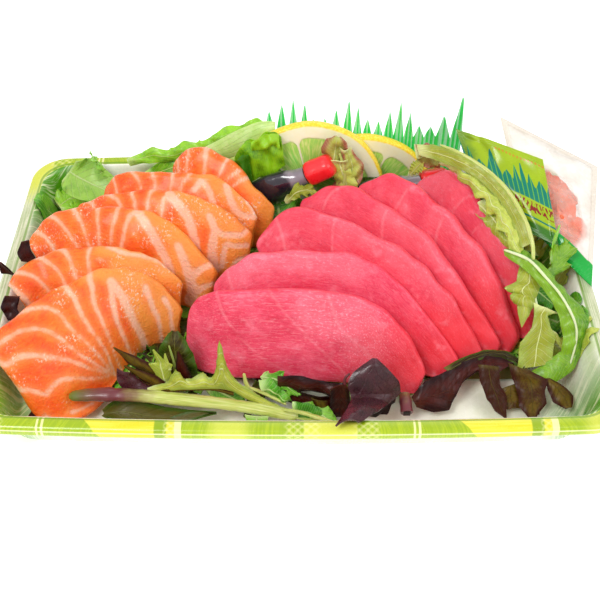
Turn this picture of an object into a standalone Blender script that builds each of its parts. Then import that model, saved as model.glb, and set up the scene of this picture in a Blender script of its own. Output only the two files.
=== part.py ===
"""Sashimi plate: a printed takeaway tray with fanned salmon and tuna slices on a bed of salad.

Sizes below are in millimetres; MM turns them into metres. The tray is centred on X and Y,
it rests on Z = 0, and its long side runs along X, with the front slices towards -Y.
"""

import math

import bmesh
import bpy
import numpy as np
from mathutils import Matrix, Vector
from mathutils.bvhtree import BVHTree

MM = 0.001
GAP = 0.35

# Tray
TRAY_X, TRAY_Y, TRAY_Z = 218.0, 146.0, 22.0
TRAY_BOW = 2.0
TRAY_WALL = 0.8
CORNER_RADIUS = 14.0
FLANGE = 5.5
SKIRT = 3.0
WALL_RUN = 5.0
FLOOR_BEND = 2.5

# Fish slices, front to back. A crest runs from the left end to the right end; the widths are
# read along it, and the leans are those of the left and right ends, in degrees from level.
SLICE_THICK = 6.4
SLICE_THINNEST = 1.5
SLICE_REST = 3.4
SLICE_GAP = 0.6
SLICE_REACH = 0.2
SALMON = (
    dict(crest=((-106, -40, 29.5), (-88, -23, 34), (-69, -13, 38), (-52, -11, 32), (-40, -16, 19.5)),
         width=(52, 53, 38, 20), lean=(24, 56), bend=34),
    dict(crest=((-104, -11, 30), (-92, -1, 34), (-67, -3, 39), (-52, -3, 35), (-40, -6, 24)),
         width=(30, 38, 34, 21), lean=(34, 50)),
    dict(crest=((-102, 12, 27), (-91, 20, 36), (-68, 17, 41), (-48, 13, 38), (-28, 2, 22)),
         width=(30, 38, 34, 30), lean=(36, 50)),
    dict(crest=((-86, 32, 29), (-70, 29, 38), (-46, 25, 42), (-28, 21, 38), (-15, 17, 27)),
         width=(30, 36, 34, 24), lean=(36, 50)),
    dict(crest=((-76, 41, 31), (-68, 40, 39), (-46, 37, 42), (-28, 33, 40), (-14, 26, 29)),
         width=(26, 34, 32, 24), lean=(38, 52)),
    dict(crest=((-50, 50, 35), (-41, 50, 44), (-27, 44, 43), (-16, 35, 37), (-7, 32, 28)),
         width=(26, 32, 30, 22), lean=(40, 52)),
)
TUNA = (
    dict(crest=((-38, -17, 27), (-22, -20, 34.5), (15, -25, 37), (34, -31, 31), (46, -41, 14)),
         width=(30, 34, 32, 20), lean=(44, 60)),
    dict(crest=((-31, -7, 25), (-14, -4, 37), (19, -9, 40), (37.5, -18.5, 34), (59, -35.5, 12)),
         width=(30, 34, 32, 20), lean=(44, 60)),
    dict(crest=((-16, 11, 29), (1, 17, 41), (32, -4, 42), (52, -18, 33), (67.5, -31.5, 12.5)),
         width=(30, 34, 32, 20), lean=(44, 60)),
    dict(crest=((1, 29, 34), (18, 27, 43), (41, 7, 42), (57, -12, 33), (74.5, -26.3, 12.5)),
         width=(28, 34, 32, 20), lean=(44, 60)),
    dict(crest=((23, 34, 37), (36, 32, 44), (54, 15, 42), (69.5, -5, 32), (81.3, -23.2, 11.7)),
         width=(26, 34, 32, 20), lean=(44, 60)),
    dict(crest=((46, 38, 36), (57.5, 36, 43), (67.5, 20, 40.5), (80, -1.5, 31), (91.5, -16.5, 13.5)),
         width=(26, 32, 30, 22), lean=(46, 60)),
)

# Garnish
LEMON_RADIUS, LEMON_THICK = 29.5, 4.5
LEMON_CUT = math.radians(12)
LEMON_ROUND = 0.6
BOTTLE_SHAPE = (
    (0, 3.8, 3.8), (4, 4.2, 4.0), (8, 6.2, 4.1), (15, 7.4, 4.2), (23, 6.8, 4.0),
    (30, 4.6, 3.2), (34, 2.4, 2.0), (37, 4.0, 1.8), (41, 6.0, 1.8),
)
CAP_RADIUS, CAP_LENGTH = 5.4, 11.5
CAP_ROUND = 1.2
BLADES = 18
BLADE_PITCH = 4.45
BLADE_TIPS = (51, 55, 57.5, 54, 48)
LAST_TIP = 61.0
BLADE_ROOT = 38.0
DIVIDER_FOOT = 19.0
FILM = 0.6

# Salad bed
BED_HALF_X, BED_HALF_Y = 95.0, 58.5
BED_TOP, BED_EDGE = 22.0, 3.0
BED_FLOOR = 1.2
BED_CLEAR = 1.6
PROBES = [(2.6 * i, 2.6 * j) for i in range(-3, 4) for j in range(-3, 4)]
BED_RINGS, BED_SECTORS = 13, 48


def collection(name, hidden=False):
    made = bpy.data.collections.new(name)
    made.hide_render = hidden
    bpy.context.scene.collection.children.link(made)
    return made


def material(name, colour, roughness, metallic=0.0, alpha=1.0):
    made = bpy.data.materials.new(name)
    made.use_nodes = True
    shader = made.node_tree.nodes["Principled BSDF"]
    shader.inputs["Base Color"].default_value = (*colour, 1.0)
    shader.inputs["Roughness"].default_value = roughness
    shader.inputs["Metallic"].default_value = metallic
    shader.inputs["Alpha"].default_value = alpha
    return made


def mesh_object(name, points, faces, surface):
    """An object from points in millimetres, its normals turned outwards."""
    mesh = bpy.data.meshes.new(name)
    mesh.from_pydata([tuple(np.asarray(p) * MM) for p in points], [], faces)
    shape = bmesh.new()
    shape.from_mesh(mesh)
    bmesh.ops.recalc_face_normals(shape, faces=shape.faces)
    shape.to_mesh(mesh)
    shape.free()
    mesh.materials.append(surface)
    mesh.shade_smooth()
    mesh.set_sharp_from_angle(angle=math.radians(40))
    made = bpy.data.objects.new(name, mesh)
    PARTS.objects.link(made)
    return made


def spline(points, at):
    """Catmull-Rom curve through the points, read at a share from 0 to 1 of its length in steps."""
    p = np.asarray(points, float)
    p = np.vstack([2 * p[0] - p[1], p, 2 * p[-1] - p[-2]])
    spans = len(p) - 3
    place = np.clip(np.asarray(at, float), 0, 1) * spans
    i = np.minimum(place.astype(int), spans - 1)
    t = (place - i)[..., None]
    a, b, c, d = p[i], p[i + 1], p[i + 2], p[i + 3]
    return 0.5 * (2 * b + (c - a) * t + (2 * a - 5 * b + 4 * c - d) * t**2 + (3 * b - a - 3 * c + d) * t**3)


def grid_faces(rows, columns, start=0, flip=False):
    faces = []
    for i in range(rows - 1):
        for j in range(columns - 1):
            a = start + i * columns + j
            face = (a, a + 1, a + columns + 1, a + columns)
            faces.append(face[::-1] if flip else face)
    return faces


def edge_loop(rows, columns):
    """Indices round the edge of a grid, in order."""
    loop = [j for j in range(columns)]
    loop += [i * columns + columns - 1 for i in range(1, rows)]
    loop += [(rows - 1) * columns + j for j in range(columns - 2, -1, -1)]
    loop += [i * columns for i in range(rows - 2, 0, -1)]
    return loop


def sandwich(name, front, back, surface):
    """A closed slab between two grids of points of the same size."""
    rows, columns = front.shape[:2]
    half = rows * columns
    faces = grid_faces(rows, columns) + grid_faces(rows, columns, half, True)
    loop = edge_loop(rows, columns)
    for a, b in zip(loop, loop[1:] + loop[:1]):
        faces.append((b, a, a + half, b + half))
    return mesh_object(name, np.vstack([front.reshape(-1, 3), back.reshape(-1, 3)]), faces, surface)


def rest_on(height, lowest, blend=1.5):
    """Heights eased up to stay above the lowest one."""
    return lowest + blend * np.logaddexp(0, (height - lowest) / blend)


def floor_under(place):
    """The lowest height a slice may reach: just off the floor, and clear of the end walls and rim."""
    inset = TRAY_X / 2 - FLANGE - np.abs(place[..., 0])
    wall = TRAY_Z + 1.4 - inset * (TRAY_Z - 2.6) / WALL_RUN
    return np.clip(wall + 2.5, SLICE_REST, TRAY_Z + 1.4)


def slice_face(shape, along, down):
    """Points on a slice's upper face: along runs left to right, down runs from the crest to its lower edge."""
    u, v = np.meshgrid(along, down, indexing="ij")
    crest = shape["crest"]
    top = spline(crest, u)
    step = spline(crest, np.clip(u + SLICE_REACH, 0, 1)) - spline(crest, np.clip(u - SLICE_REACH, 0, 1))
    heading = step[..., :2] / np.linalg.norm(step[..., :2], axis=-1, keepdims=True)
    forward = np.stack([heading[..., 1], -heading[..., 0]], axis=-1)
    rounding = 0.5 + 0.5 * np.sqrt(np.clip(1 - np.abs(2 * u - 1) ** 5, 0, 1))
    wide = spline(np.array(shape["width"])[:, None], u)[..., 0] * rounding
    lean = np.radians(np.interp(u, (0, 1), shape["lean"]) + shape.get("bend", 14) * (v - 0.4))
    run = (wide * v * np.cos(lean))[..., None] * forward
    place = top[..., :2] + run
    height = rest_on(top[..., 2] - wide * v * np.sin(lean), floor_under(place) + SLICE_THICK / 2)
    return np.concatenate([place, height[..., None]], axis=-1)


def normals_of(face):
    across = np.gradient(face, axis=0)
    down = np.gradient(face, axis=1)
    normal = np.cross(down, across)
    return normal / np.linalg.norm(normal, axis=-1, keepdims=True)


def tree_of(face):
    rows, columns = face.shape[:2]
    return BVHTree.FromPolygons([Vector(p) for p in face.reshape(-1, 3)], grid_faces(rows, columns))


def fan_of_slices(label, shapes, surface):
    """Slices that each lie back on the next: a slice is as thick as the space to the next one allows."""
    along = np.linspace(0, 1, 15)
    down = np.linspace(0, 1, 6)
    reach = 4.0
    for k, shape in enumerate(shapes):
        front = slice_face(shape, along, down)
        back = front - normals_of(front) * SLICE_THICK
        back[..., 2] = np.minimum(rest_on(back[..., 2], floor_under(back), 0.8), front[..., 2] - 1)
        if k + 1 < len(shapes):
            behind = tree_of(slice_face(shapes[k + 1], np.linspace(0, 1, 60), np.linspace(-0.05, 1.3, 28)))
            for place in np.ndindex(front.shape[:2]):
                way = Vector(back[place] - front[place])
                full = way.length
                way.normalize()
                room = behind.ray_cast(Vector(front[place]) - reach * way, way, 24)[3]
                if room is not None:
                    thick = max(SLICE_THINNEST, min(full, room - reach - SLICE_GAP))
                    back[place] = front[place] + thick * np.array(way)
        sandwich(f"{label}_slice_{k + 1}", front, back, surface)


def rounded_ring(half_x, half_y, radius, bow, z):
    """A rounded rectangle whose long sides bow out by the given amount in their middle."""
    ring = []
    for quarter, (sx, sy) in enumerate(((1, 1), (-1, 1), (-1, -1), (1, -1))):
        for step in range(7):
            turn = math.radians(90 * quarter + 15 * step)
            ring.append((
                sx * (half_x - radius) + radius * math.cos(turn),
                sy * (half_y - radius) + radius * math.sin(turn),
            ))
        if quarter in (0, 2):
            side = 1 if quarter == 0 else -1
            for share in (0.5, 0.0, -0.5):
                ring.append((side * share * (half_x - radius) * 1.0, side * half_y))
    full = half_x - radius
    return [
        (x, y + math.copysign(bow * max(0.0, 1 - (x / full) ** 2), y), z) for x, y in ring
    ]


def tray(surface):
    half_x, half_y = TRAY_X / 2, TRAY_Y / 2
    steps = (
        (0.0, TRAY_Z - SKIRT),
        (0.0, TRAY_Z - 0.8),
        (0.8, TRAY_Z),
        (FLANGE, TRAY_Z),
        (FLANGE + 0.8, TRAY_Z - 1.0),
        (FLANGE + WALL_RUN, 2.6),
        (FLANGE + WALL_RUN + 0.9, 0.8),
        (FLANGE + WALL_RUN + FLOOR_BEND, 0.0),
    )
    points, faces = [], []
    for inset, z in steps:
        points += rounded_ring(half_x - inset, half_y - TRAY_BOW - inset, CORNER_RADIUS - 0.4 * inset, TRAY_BOW, z)
    count = len(points) // len(steps)
    for level in range(len(steps) - 1):
        for i in range(count):
            a, b = level * count + i, level * count + (i + 1) % count
            faces.append((a, b, b + count, a + count))
    faces.append(tuple((len(steps) - 1) * count + i for i in range(count)))
    made = mesh_object("tray", points, faces, surface)
    thicken(made, TRAY_WALL, 1.0)


def leaf(name, spine, half_width, surface, thick=1.4, roll=0.0, cup=0.0, points=9):
    """A leaf along a spine. Roll turns its width about the spine, and cup lifts its two edges."""
    u, q = np.meshgrid(np.linspace(0, 1, points), np.linspace(-1, 1, 5), indexing="ij")
    middle = spline(spine, u)
    step = spline(spine, np.clip(u + 0.03, 0, 1)) - spline(spine, np.clip(u - 0.03, 0, 1))
    step /= np.linalg.norm(step, axis=-1, keepdims=True)
    level = np.stack([-step[..., 1], step[..., 0], 0 * u], axis=-1)
    level /= np.linalg.norm(level, axis=-1, keepdims=True)
    upright = np.cross(step, level)
    turn = math.radians(roll)
    side = level * math.cos(turn) + upright * math.sin(turn)
    normal = np.cross(step, side)
    wide = half_width * (0.25 + 0.75 * np.sin(math.pi * np.clip(u, 0.02, 0.98) ** 0.8) ** 0.7)
    face = middle + side * (wide * q)[..., None] + normal * (cup * q**2)[..., None]
    rows, columns = face.shape[:2]
    made = mesh_object(name, face.reshape(-1, 3), grid_faces(rows, columns), surface)
    thicken(made, thick)


def thicken(made, thick, offset=0.0):
    wall = made.modifiers.new("wall", "SOLIDIFY")
    wall.thickness = thick * MM
    wall.offset = offset


def lofted(name, rings, surface):
    """A closed solid through rings of equal count, with flat ends."""
    count = len(rings[0])
    points = [p for ring in rings for p in ring]
    faces = []
    for level in range(len(rings) - 1):
        for i in range(count):
            a, b = level * count + i, level * count + (i + 1) % count
            faces.append((a, b, b + count, a + count))
    faces.append(tuple(range(count))[::-1])
    faces.append(tuple((len(rings) - 1) * count + i for i in range(count)))
    return mesh_object(name, points, faces, surface)


def axes_along(way):
    """A direction as a unit vector, with two across it: one as near to upright as it can be, one level."""
    way = Vector(way).normalized()
    level = way.cross(Vector((0, 0, 1))).normalized()
    return way, level.cross(way), level


def placed(made, x_axis, y_axis, z_axis, origin):
    """Sets an object's frame from three unit vectors and an origin in millimetres."""
    turn = Matrix((x_axis, y_axis, z_axis)).transposed().to_4x4()
    made.matrix_world = Matrix.Translation(Vector(origin) * MM) @ turn


def soy_bottle(number, neck, tail):
    """A fish-shaped bottle from its neck to its tail fin, and the cap in line with it."""
    way, upright, level = axes_along(Vector(tail) - Vector(neck))
    rings = []
    for place, tall, thick in BOTTLE_SHAPE:
        centre = Vector(neck) + place * way
        rings.append([
            centre + tall * math.cos(t) * upright + thick * math.sin(t) * level
            for t in np.linspace(0, 2 * math.pi, 13)[:-1]
        ])
    lofted(f"soy_bottle_{number}", rings, SOY)
    mesh = bpy.data.meshes.new(f"soy_cap_{number}")
    shape = bmesh.new()
    bmesh.ops.create_cone(
        shape, cap_ends=True, segments=20, radius1=CAP_RADIUS * MM, radius2=CAP_RADIUS * MM, depth=CAP_LENGTH * MM
    )
    shape.to_mesh(mesh)
    shape.free()
    mesh.materials.append(CAP)
    cap = bpy.data.objects.new(f"soy_cap_{number}", mesh)
    PARTS.objects.link(cap)
    placed(cap, upright, level, upright.cross(level), Vector(neck) - (GAP + CAP_LENGTH / 2) * way)
    rounded = cap.modifiers.new("rounded", "BEVEL")
    rounded.width = CAP_ROUND * MM
    rounded.segments = 2
    rounded.limit_method = "ANGLE"
    rounded.angle_limit = math.radians(60)


def lemon_slice(number, centre, lean):
    """Half a round slice whose flat sides lean back from level by the given angle."""
    outline = bpy.data.curves.new(f"lemon_slice_{number}", "CURVE")
    outline.dimensions = "2D"
    outline.fill_mode = "BOTH"
    outline.extrude = (LEMON_THICK / 2 - LEMON_ROUND) * MM
    outline.bevel_depth = LEMON_ROUND * MM
    outline.bevel_resolution = 1
    edge = outline.splines.new("POLY")
    turns = np.linspace(LEMON_CUT, math.pi - LEMON_CUT, 25)
    edge.points.add(len(turns) - 1)
    radius = (LEMON_RADIUS - LEMON_ROUND) * MM
    for point, turn in zip(edge.points, turns):
        point.co = (radius * math.cos(turn), radius * math.sin(turn), 0, 1)
    edge.use_cyclic_u = True
    outline.materials.append(LEMON)
    made = bpy.data.objects.new(f"lemon_slice_{number}", outline)
    PARTS.objects.link(made)
    made.location = Vector(centre) * MM
    made.rotation_euler = (lean, 0, 0)


def grass_divider(left, y):
    """A pleated sheet whose top edge is cut into blades, one pleat to a blade."""
    points = []
    for i in range(2 * BLADES + 1):
        x = left + i * BLADE_PITCH / 2
        fold = 0.7 if i % 2 else -0.7
        top = BLADE_TIPS[(i // 2) % len(BLADE_TIPS)] - 0.1 * i if i % 2 else BLADE_ROOT - 0.1 * i
        if i == 2 * BLADES - 1:
            top = LAST_TIP
        points += [(x, y + fold, z) for z in (DIVIDER_FOOT, BLADE_ROOT - 8, top)]
    made = mesh_object("grass_divider", points, grid_faces(2 * BLADES + 1, 3), GRASS)
    thicken(made, FILM)


def sachet(name, corners, plump, surface):
    """A sealed pack between four corners: top left, top right, bottom right, bottom left."""
    a, b = np.meshgrid(np.linspace(0, 1, 9), np.linspace(0, 1, 9), indexing="ij")
    a, b = a[..., None], b[..., None]
    tl, tr, br, bl = (np.array(c, float) for c in corners)
    sheet = (1 - a) * (1 - b) * tl + a * (1 - b) * tr + a * b * br + (1 - a) * b * bl
    normal = normals_of(sheet)
    swell = FILM / 2 + plump / 2 * np.clip(np.sin(math.pi * a) * np.sin(math.pi * b), 0, 1) ** 0.6
    sandwich(name, sheet + normal * swell, sheet - normal * swell, surface)


def salad_bed(surface):
    """The heap that the fish lies on: an uneven mound, hollowed to clear whatever rests above it."""
    bpy.context.view_layer.update()
    graph = bpy.context.evaluated_depsgraph_get()
    above = []
    for item in PARTS.objects:
        if item.name != "tray":
            solid = item.evaluated_get(graph)
            mesh = solid.to_mesh()
            points = [solid.matrix_world @ v.co / MM for v in mesh.vertices]
            above.append(BVHTree.FromPolygons(points, [tuple(f.vertices) for f in mesh.polygons]))
            solid.to_mesh_clear()

    def ceiling(x, y):
        found = 99.0
        for tree in above:
            for dx, dy in PROBES:
                hit = tree.ray_cast(Vector((x + dx, y + dy, BED_FLOOR)), Vector((0, 0, 1)), 99)[0]
                if hit is not None:
                    found = min(found, hit.z)
        return found

    points = []
    for ring in range(BED_RINGS + 1):
        share = ring / BED_RINGS
        for sector in range(BED_SECTORS):
            t = 2 * math.pi * sector / BED_SECTORS
            ragged = 1 - 0.05 * (1 + math.sin(5 * t + 1)) - 0.03 * (1 + math.sin(11 * t))
            c, s = math.cos(t), math.sin(t)
            square = (abs(c) ** 3.2 + abs(s) ** 3.2) ** (-1 / 3.2)
            x = BED_HALF_X * share * square * ragged * c
            y = BED_HALF_Y * share * square * ragged * s
            mound = BED_EDGE + (BED_TOP - BED_EDGE + 5 * s) * (1 - share**3.5)
            mound += 1.5 * math.sin(x / 6) * math.sin(y / 5) * (1 - share)
            points.append((x, y, max(BED_FLOOR + 0.6, min(mound, ceiling(x, y) - BED_CLEAR))))
            if ring == 0:
                break
    faces = [(0, 1 + i, 1 + (i + 1) % BED_SECTORS) for i in range(BED_SECTORS)]
    for ring in range(BED_RINGS - 1):
        for i in range(BED_SECTORS):
            a, b = 1 + ring * BED_SECTORS + i, 1 + ring * BED_SECTORS + (i + 1) % BED_SECTORS
            faces.append((a, a + BED_SECTORS, b + BED_SECTORS, b))
    rim = [1 + (BED_RINGS - 1) * BED_SECTORS + i for i in range(BED_SECTORS)]
    foot = len(points)
    points += [(points[i][0], points[i][1], BED_FLOOR) for i in rim]
    for i in range(BED_SECTORS):
        j = (i + 1) % BED_SECTORS
        faces.append((rim[i], foot + i, foot + j, rim[j]))
    faces.append(tuple(foot + i for i in range(BED_SECTORS))[::-1])
    mesh_object("salad_bed", points, faces, surface)


for old in list(bpy.data.objects):
    bpy.data.objects.remove(old, do_unlink=True)

PARTS = collection("sashimi_plate")

TRAY_PRINT = material("tray_print", (0.80, 0.86, 0.42), 0.25)
SALMON_FLESH = material("salmon_flesh", (0.93, 0.28, 0.07), 0.35)
TUNA_FLESH = material("tuna_flesh", (0.86, 0.11, 0.12), 0.35)
LEMON = material("lemon", (0.93, 0.82, 0.25), 0.4)
SOY = material("soy_bottle", (0.04, 0.03, 0.04), 0.2)
CAP = material("red_cap", (0.9, 0.04, 0.04), 0.35)
GRASS = material("grass_film", (0.1, 0.65, 0.15), 0.3)
WASABI = material("wasabi_pack", (0.45, 0.6, 0.05), 0.3)
GINGER = material("ginger_pack", (0.95, 0.55, 0.4), 0.3)
GREEN_LEAF = material("green_leaf", (0.25, 0.5, 0.05), 0.5)
PALE_LEAF = material("pale_leaf", (0.6, 0.65, 0.2), 0.5)
PURPLE_LEAF = material("purple_leaf", (0.1, 0.03, 0.04), 0.4)

tray(TRAY_PRINT)
fan_of_slices("salmon", SALMON, SALMON_FLESH)
fan_of_slices("tuna", TUNA, TUNA_FLESH)
lemon_slice(1, (6, 48.8, 22.8), math.radians(78))
lemon_slice(2, (27.5, 55.5, 13.4), math.radians(84))
soy_bottle(1, (4.4, 42, 35.6), (-28, 44, 16.5))
soy_bottle(2, (49.5, 45.5, 28.5), (11.8, 37.5, 24.5))
grass_divider(-12.8, 62.8)
sachet("wasabi_sachet", ((62, 52, 51), (93.5, 36, 47.5), (97, 5, 31), (70, 24, 34)), 4.0, WASABI)
sachet("ginger_sachet", ((82, 66, 46), (120, 49, 34), (107, -10, 25.5), (87, 22, 29)), 7.0, GINGER)

leaf("lettuce_back", ((-68, 60, 20), (-45, 61, 25), (-29, 61, 32), (-16, 59.5, 38)), 10, GREEN_LEAF, 5, 60)
leaf("lettuce_left", ((-94, 62, 21), (-88, 57, 15), (-78, 52, 12)), 8, GREEN_LEAF, 2, 20, 2)
leaf("endive_front", ((-77, -51.5, 12), (-56, -50.5, 14), (-36, -50, 13), (-17, -51, 10), (1, -54, 6)), 4.5, PALE_LEAF, 2, -30)
leaf("olive_leaf", ((-64, -52, 5), (-48, -54, 6), (-28, -53, 5)), 4, PURPLE_LEAF)
leaf("purple_leaf", ((28, -42, 22), (31, -50, 16), (23, -54, 12), (15, -59, 9)), 7, PURPLE_LEAF, 2, 10, -3)
leaf("endive_right", ((47, 45, 48), (59, 40, 49), (70, 30, 48), (77, 20, 46), (83, 13, 41), (85, 4, 36)), 4.5, PALE_LEAF, 2, -20)
leaf("endive_tips", ((80, -9, 27), (84, -16, 23), (86, -26, 14)), 5, PALE_LEAF, 1.6, 0)
leaf("rocket_leaf", ((79, -2, 36), (90, -9, 32), (96, -20, 26), (97, -32, 18), (86, -40, 10)), 5, GREEN_LEAF, 1.4, 0)
leaf("red_leaf", ((54, -44.5, 7), (63, -43, 7.5), (74, -45, 6)), 6, PURPLE_LEAF, 1.6, 0)
salad_bed(GREEN_LEAF)
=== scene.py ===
"""Sashimi plate, dressed: fish, salad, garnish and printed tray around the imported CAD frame.

Shapes are worked out in millimetres and made in metres. The camera looks from the front (-Y),
down at the tray, which stands on Z = 0 with its long side along X.
"""

import math

import bpy
import numpy as np
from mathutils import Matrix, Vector
from mathutils.bvhtree import BVHTree


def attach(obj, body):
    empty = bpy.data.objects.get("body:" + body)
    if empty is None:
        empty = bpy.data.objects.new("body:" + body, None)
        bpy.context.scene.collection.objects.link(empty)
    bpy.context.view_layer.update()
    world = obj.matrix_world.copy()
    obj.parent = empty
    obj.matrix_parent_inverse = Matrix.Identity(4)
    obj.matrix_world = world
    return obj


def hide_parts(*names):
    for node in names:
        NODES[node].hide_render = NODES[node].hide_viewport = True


MM = 0.001
WAVES = 7  # sines in one wobble
SHARP_ANGLE = 50  # degrees between faces above which an edge is drawn sharp

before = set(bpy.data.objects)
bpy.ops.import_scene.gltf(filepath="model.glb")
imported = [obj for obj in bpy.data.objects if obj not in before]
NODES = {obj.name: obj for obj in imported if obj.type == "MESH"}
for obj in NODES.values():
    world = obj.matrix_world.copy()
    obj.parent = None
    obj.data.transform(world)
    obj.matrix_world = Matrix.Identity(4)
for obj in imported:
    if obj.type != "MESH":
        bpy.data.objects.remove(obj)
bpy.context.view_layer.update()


# ---------------------------------------------------------------- curves and grids


def spline(points, at):
    """Catmull-Rom curve through the points, read at a share from 0 to 1 of its length in steps."""
    p = np.asarray(points, float)
    p = np.concatenate([[2 * p[0] - p[1]], p, [2 * p[-1] - p[-2]]])
    spans = len(p) - 3
    place = np.clip(np.asarray(at, float), 0, 1) * spans
    i = np.minimum(place.astype(int), spans - 1)
    t = (place - i).reshape(place.shape + (1,) * (p.ndim - 1))
    a, b, c, d = p[i], p[i + 1], p[i + 2], p[i + 3]
    return 0.5 * (2 * b + (c - a) * t + (2 * a - 5 * b + 4 * c - d) * t**2 + (3 * b - a - 3 * c + d) * t**3)


def curve(values, at):
    """A smooth curve of plain numbers, or one number all the way."""
    values = np.atleast_1d(np.asarray(values, float))
    return np.full(np.shape(at), values[0]) if len(values) == 1 else spline(values[:, None], at)[..., 0]


def unit(v):
    """Vectors at length 1."""
    return v / np.maximum(np.linalg.norm(v, axis=-1, keepdims=True), 1e-9)


def smooth(x, low, high):
    """An eased step from 0 at low to 1 at high."""
    t = np.clip((x - low) / (high - low), 0, 1)
    return t * t * (3 - 2 * t)


def wobble(points, size, seed):
    """Smooth uneven values, mostly from -1 to 1, whose bumps are about the given size."""
    chance = np.random.default_rng(seed)
    points = np.asarray(points, float)
    total = np.zeros(points.shape[:-1])
    for _ in range(WAVES):
        way = unit(chance.normal(size=points.shape[-1]))
        turns = 2 * math.pi / size * chance.uniform(0.5, 1.5)
        total += np.sin(points @ way * turns + chance.uniform(0, 2 * math.pi))
    return total / math.sqrt(WAVES)


def step_lengths(path):
    """The distance from each point of a path to the next."""
    return np.linalg.norm(np.diff(path, axis=0), axis=1)


def travelled(path):
    """Each point's distance along a path."""
    return np.concatenate([[0], np.cumsum(step_lengths(path))])


def grid_normals(face):
    """The way each point of a grid faces."""
    return unit(np.cross(np.gradient(face, axis=1), np.gradient(face, axis=0)))


def evened(values):
    """Values of which each inner one is drawn three times towards its neighbours."""
    for _ in range(3):
        values[1:-1] = (values[:-2] + 2 * values[1:-1] + values[2:]) / 4
    return values


def quads(rows, columns):
    """The faces of a grid of points."""
    i, j = np.meshgrid(np.arange(rows - 1), np.arange(columns - 1), indexing="ij")
    a = (i * columns + j).ravel()
    return np.stack([a, a + 1, a + columns + 1, a + columns], axis=1)


def band_quads(rows, sides, closed=False):
    """The faces between rings of points, ring by ring. Closed joins the last ring to the first."""
    i, j = np.meshgrid(np.arange(rows if closed else rows - 1), np.arange(sides), indexing="ij")
    after, above = (j + 1) % sides, (i + 1) % rows
    return np.stack([i * sides + j, i * sides + after, above * sides + after, above * sides + j], axis=-1)


def border(rows, columns):
    """Indices round the edge of a grid, in order."""
    top, bottom = np.arange(columns), (rows - 1) * columns + np.arange(columns)[::-1]
    right = np.arange(1, rows - 1) * columns + columns - 1
    left = (np.arange(1, rows - 1) * columns)[::-1]
    return np.concatenate([top, right, bottom, left])


def eased(length, edge, step):
    """Distances from 0 to length, close together within an edge's width of either end."""
    bend = edge * (1 - np.cos(np.linspace(0, math.pi / 2, 6)))
    inner = np.linspace(edge, length - edge, max(3, int((length - 2 * edge) / step)))
    return np.concatenate([bend[:-1], inner, (length - bend[:-1])[::-1]])


def edge_round(du, dv, edge):
    """How thick a slab is at distances du and dv from its edges, as a share of its full thickness."""
    a, b = np.clip(1 - du / edge, 0, 1), np.clip(1 - dv / edge, 0, 1)
    return np.sqrt(np.clip(1 - a * a - b * b, 0, 1))


# ---------------------------------------------------------------- pieces


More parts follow.
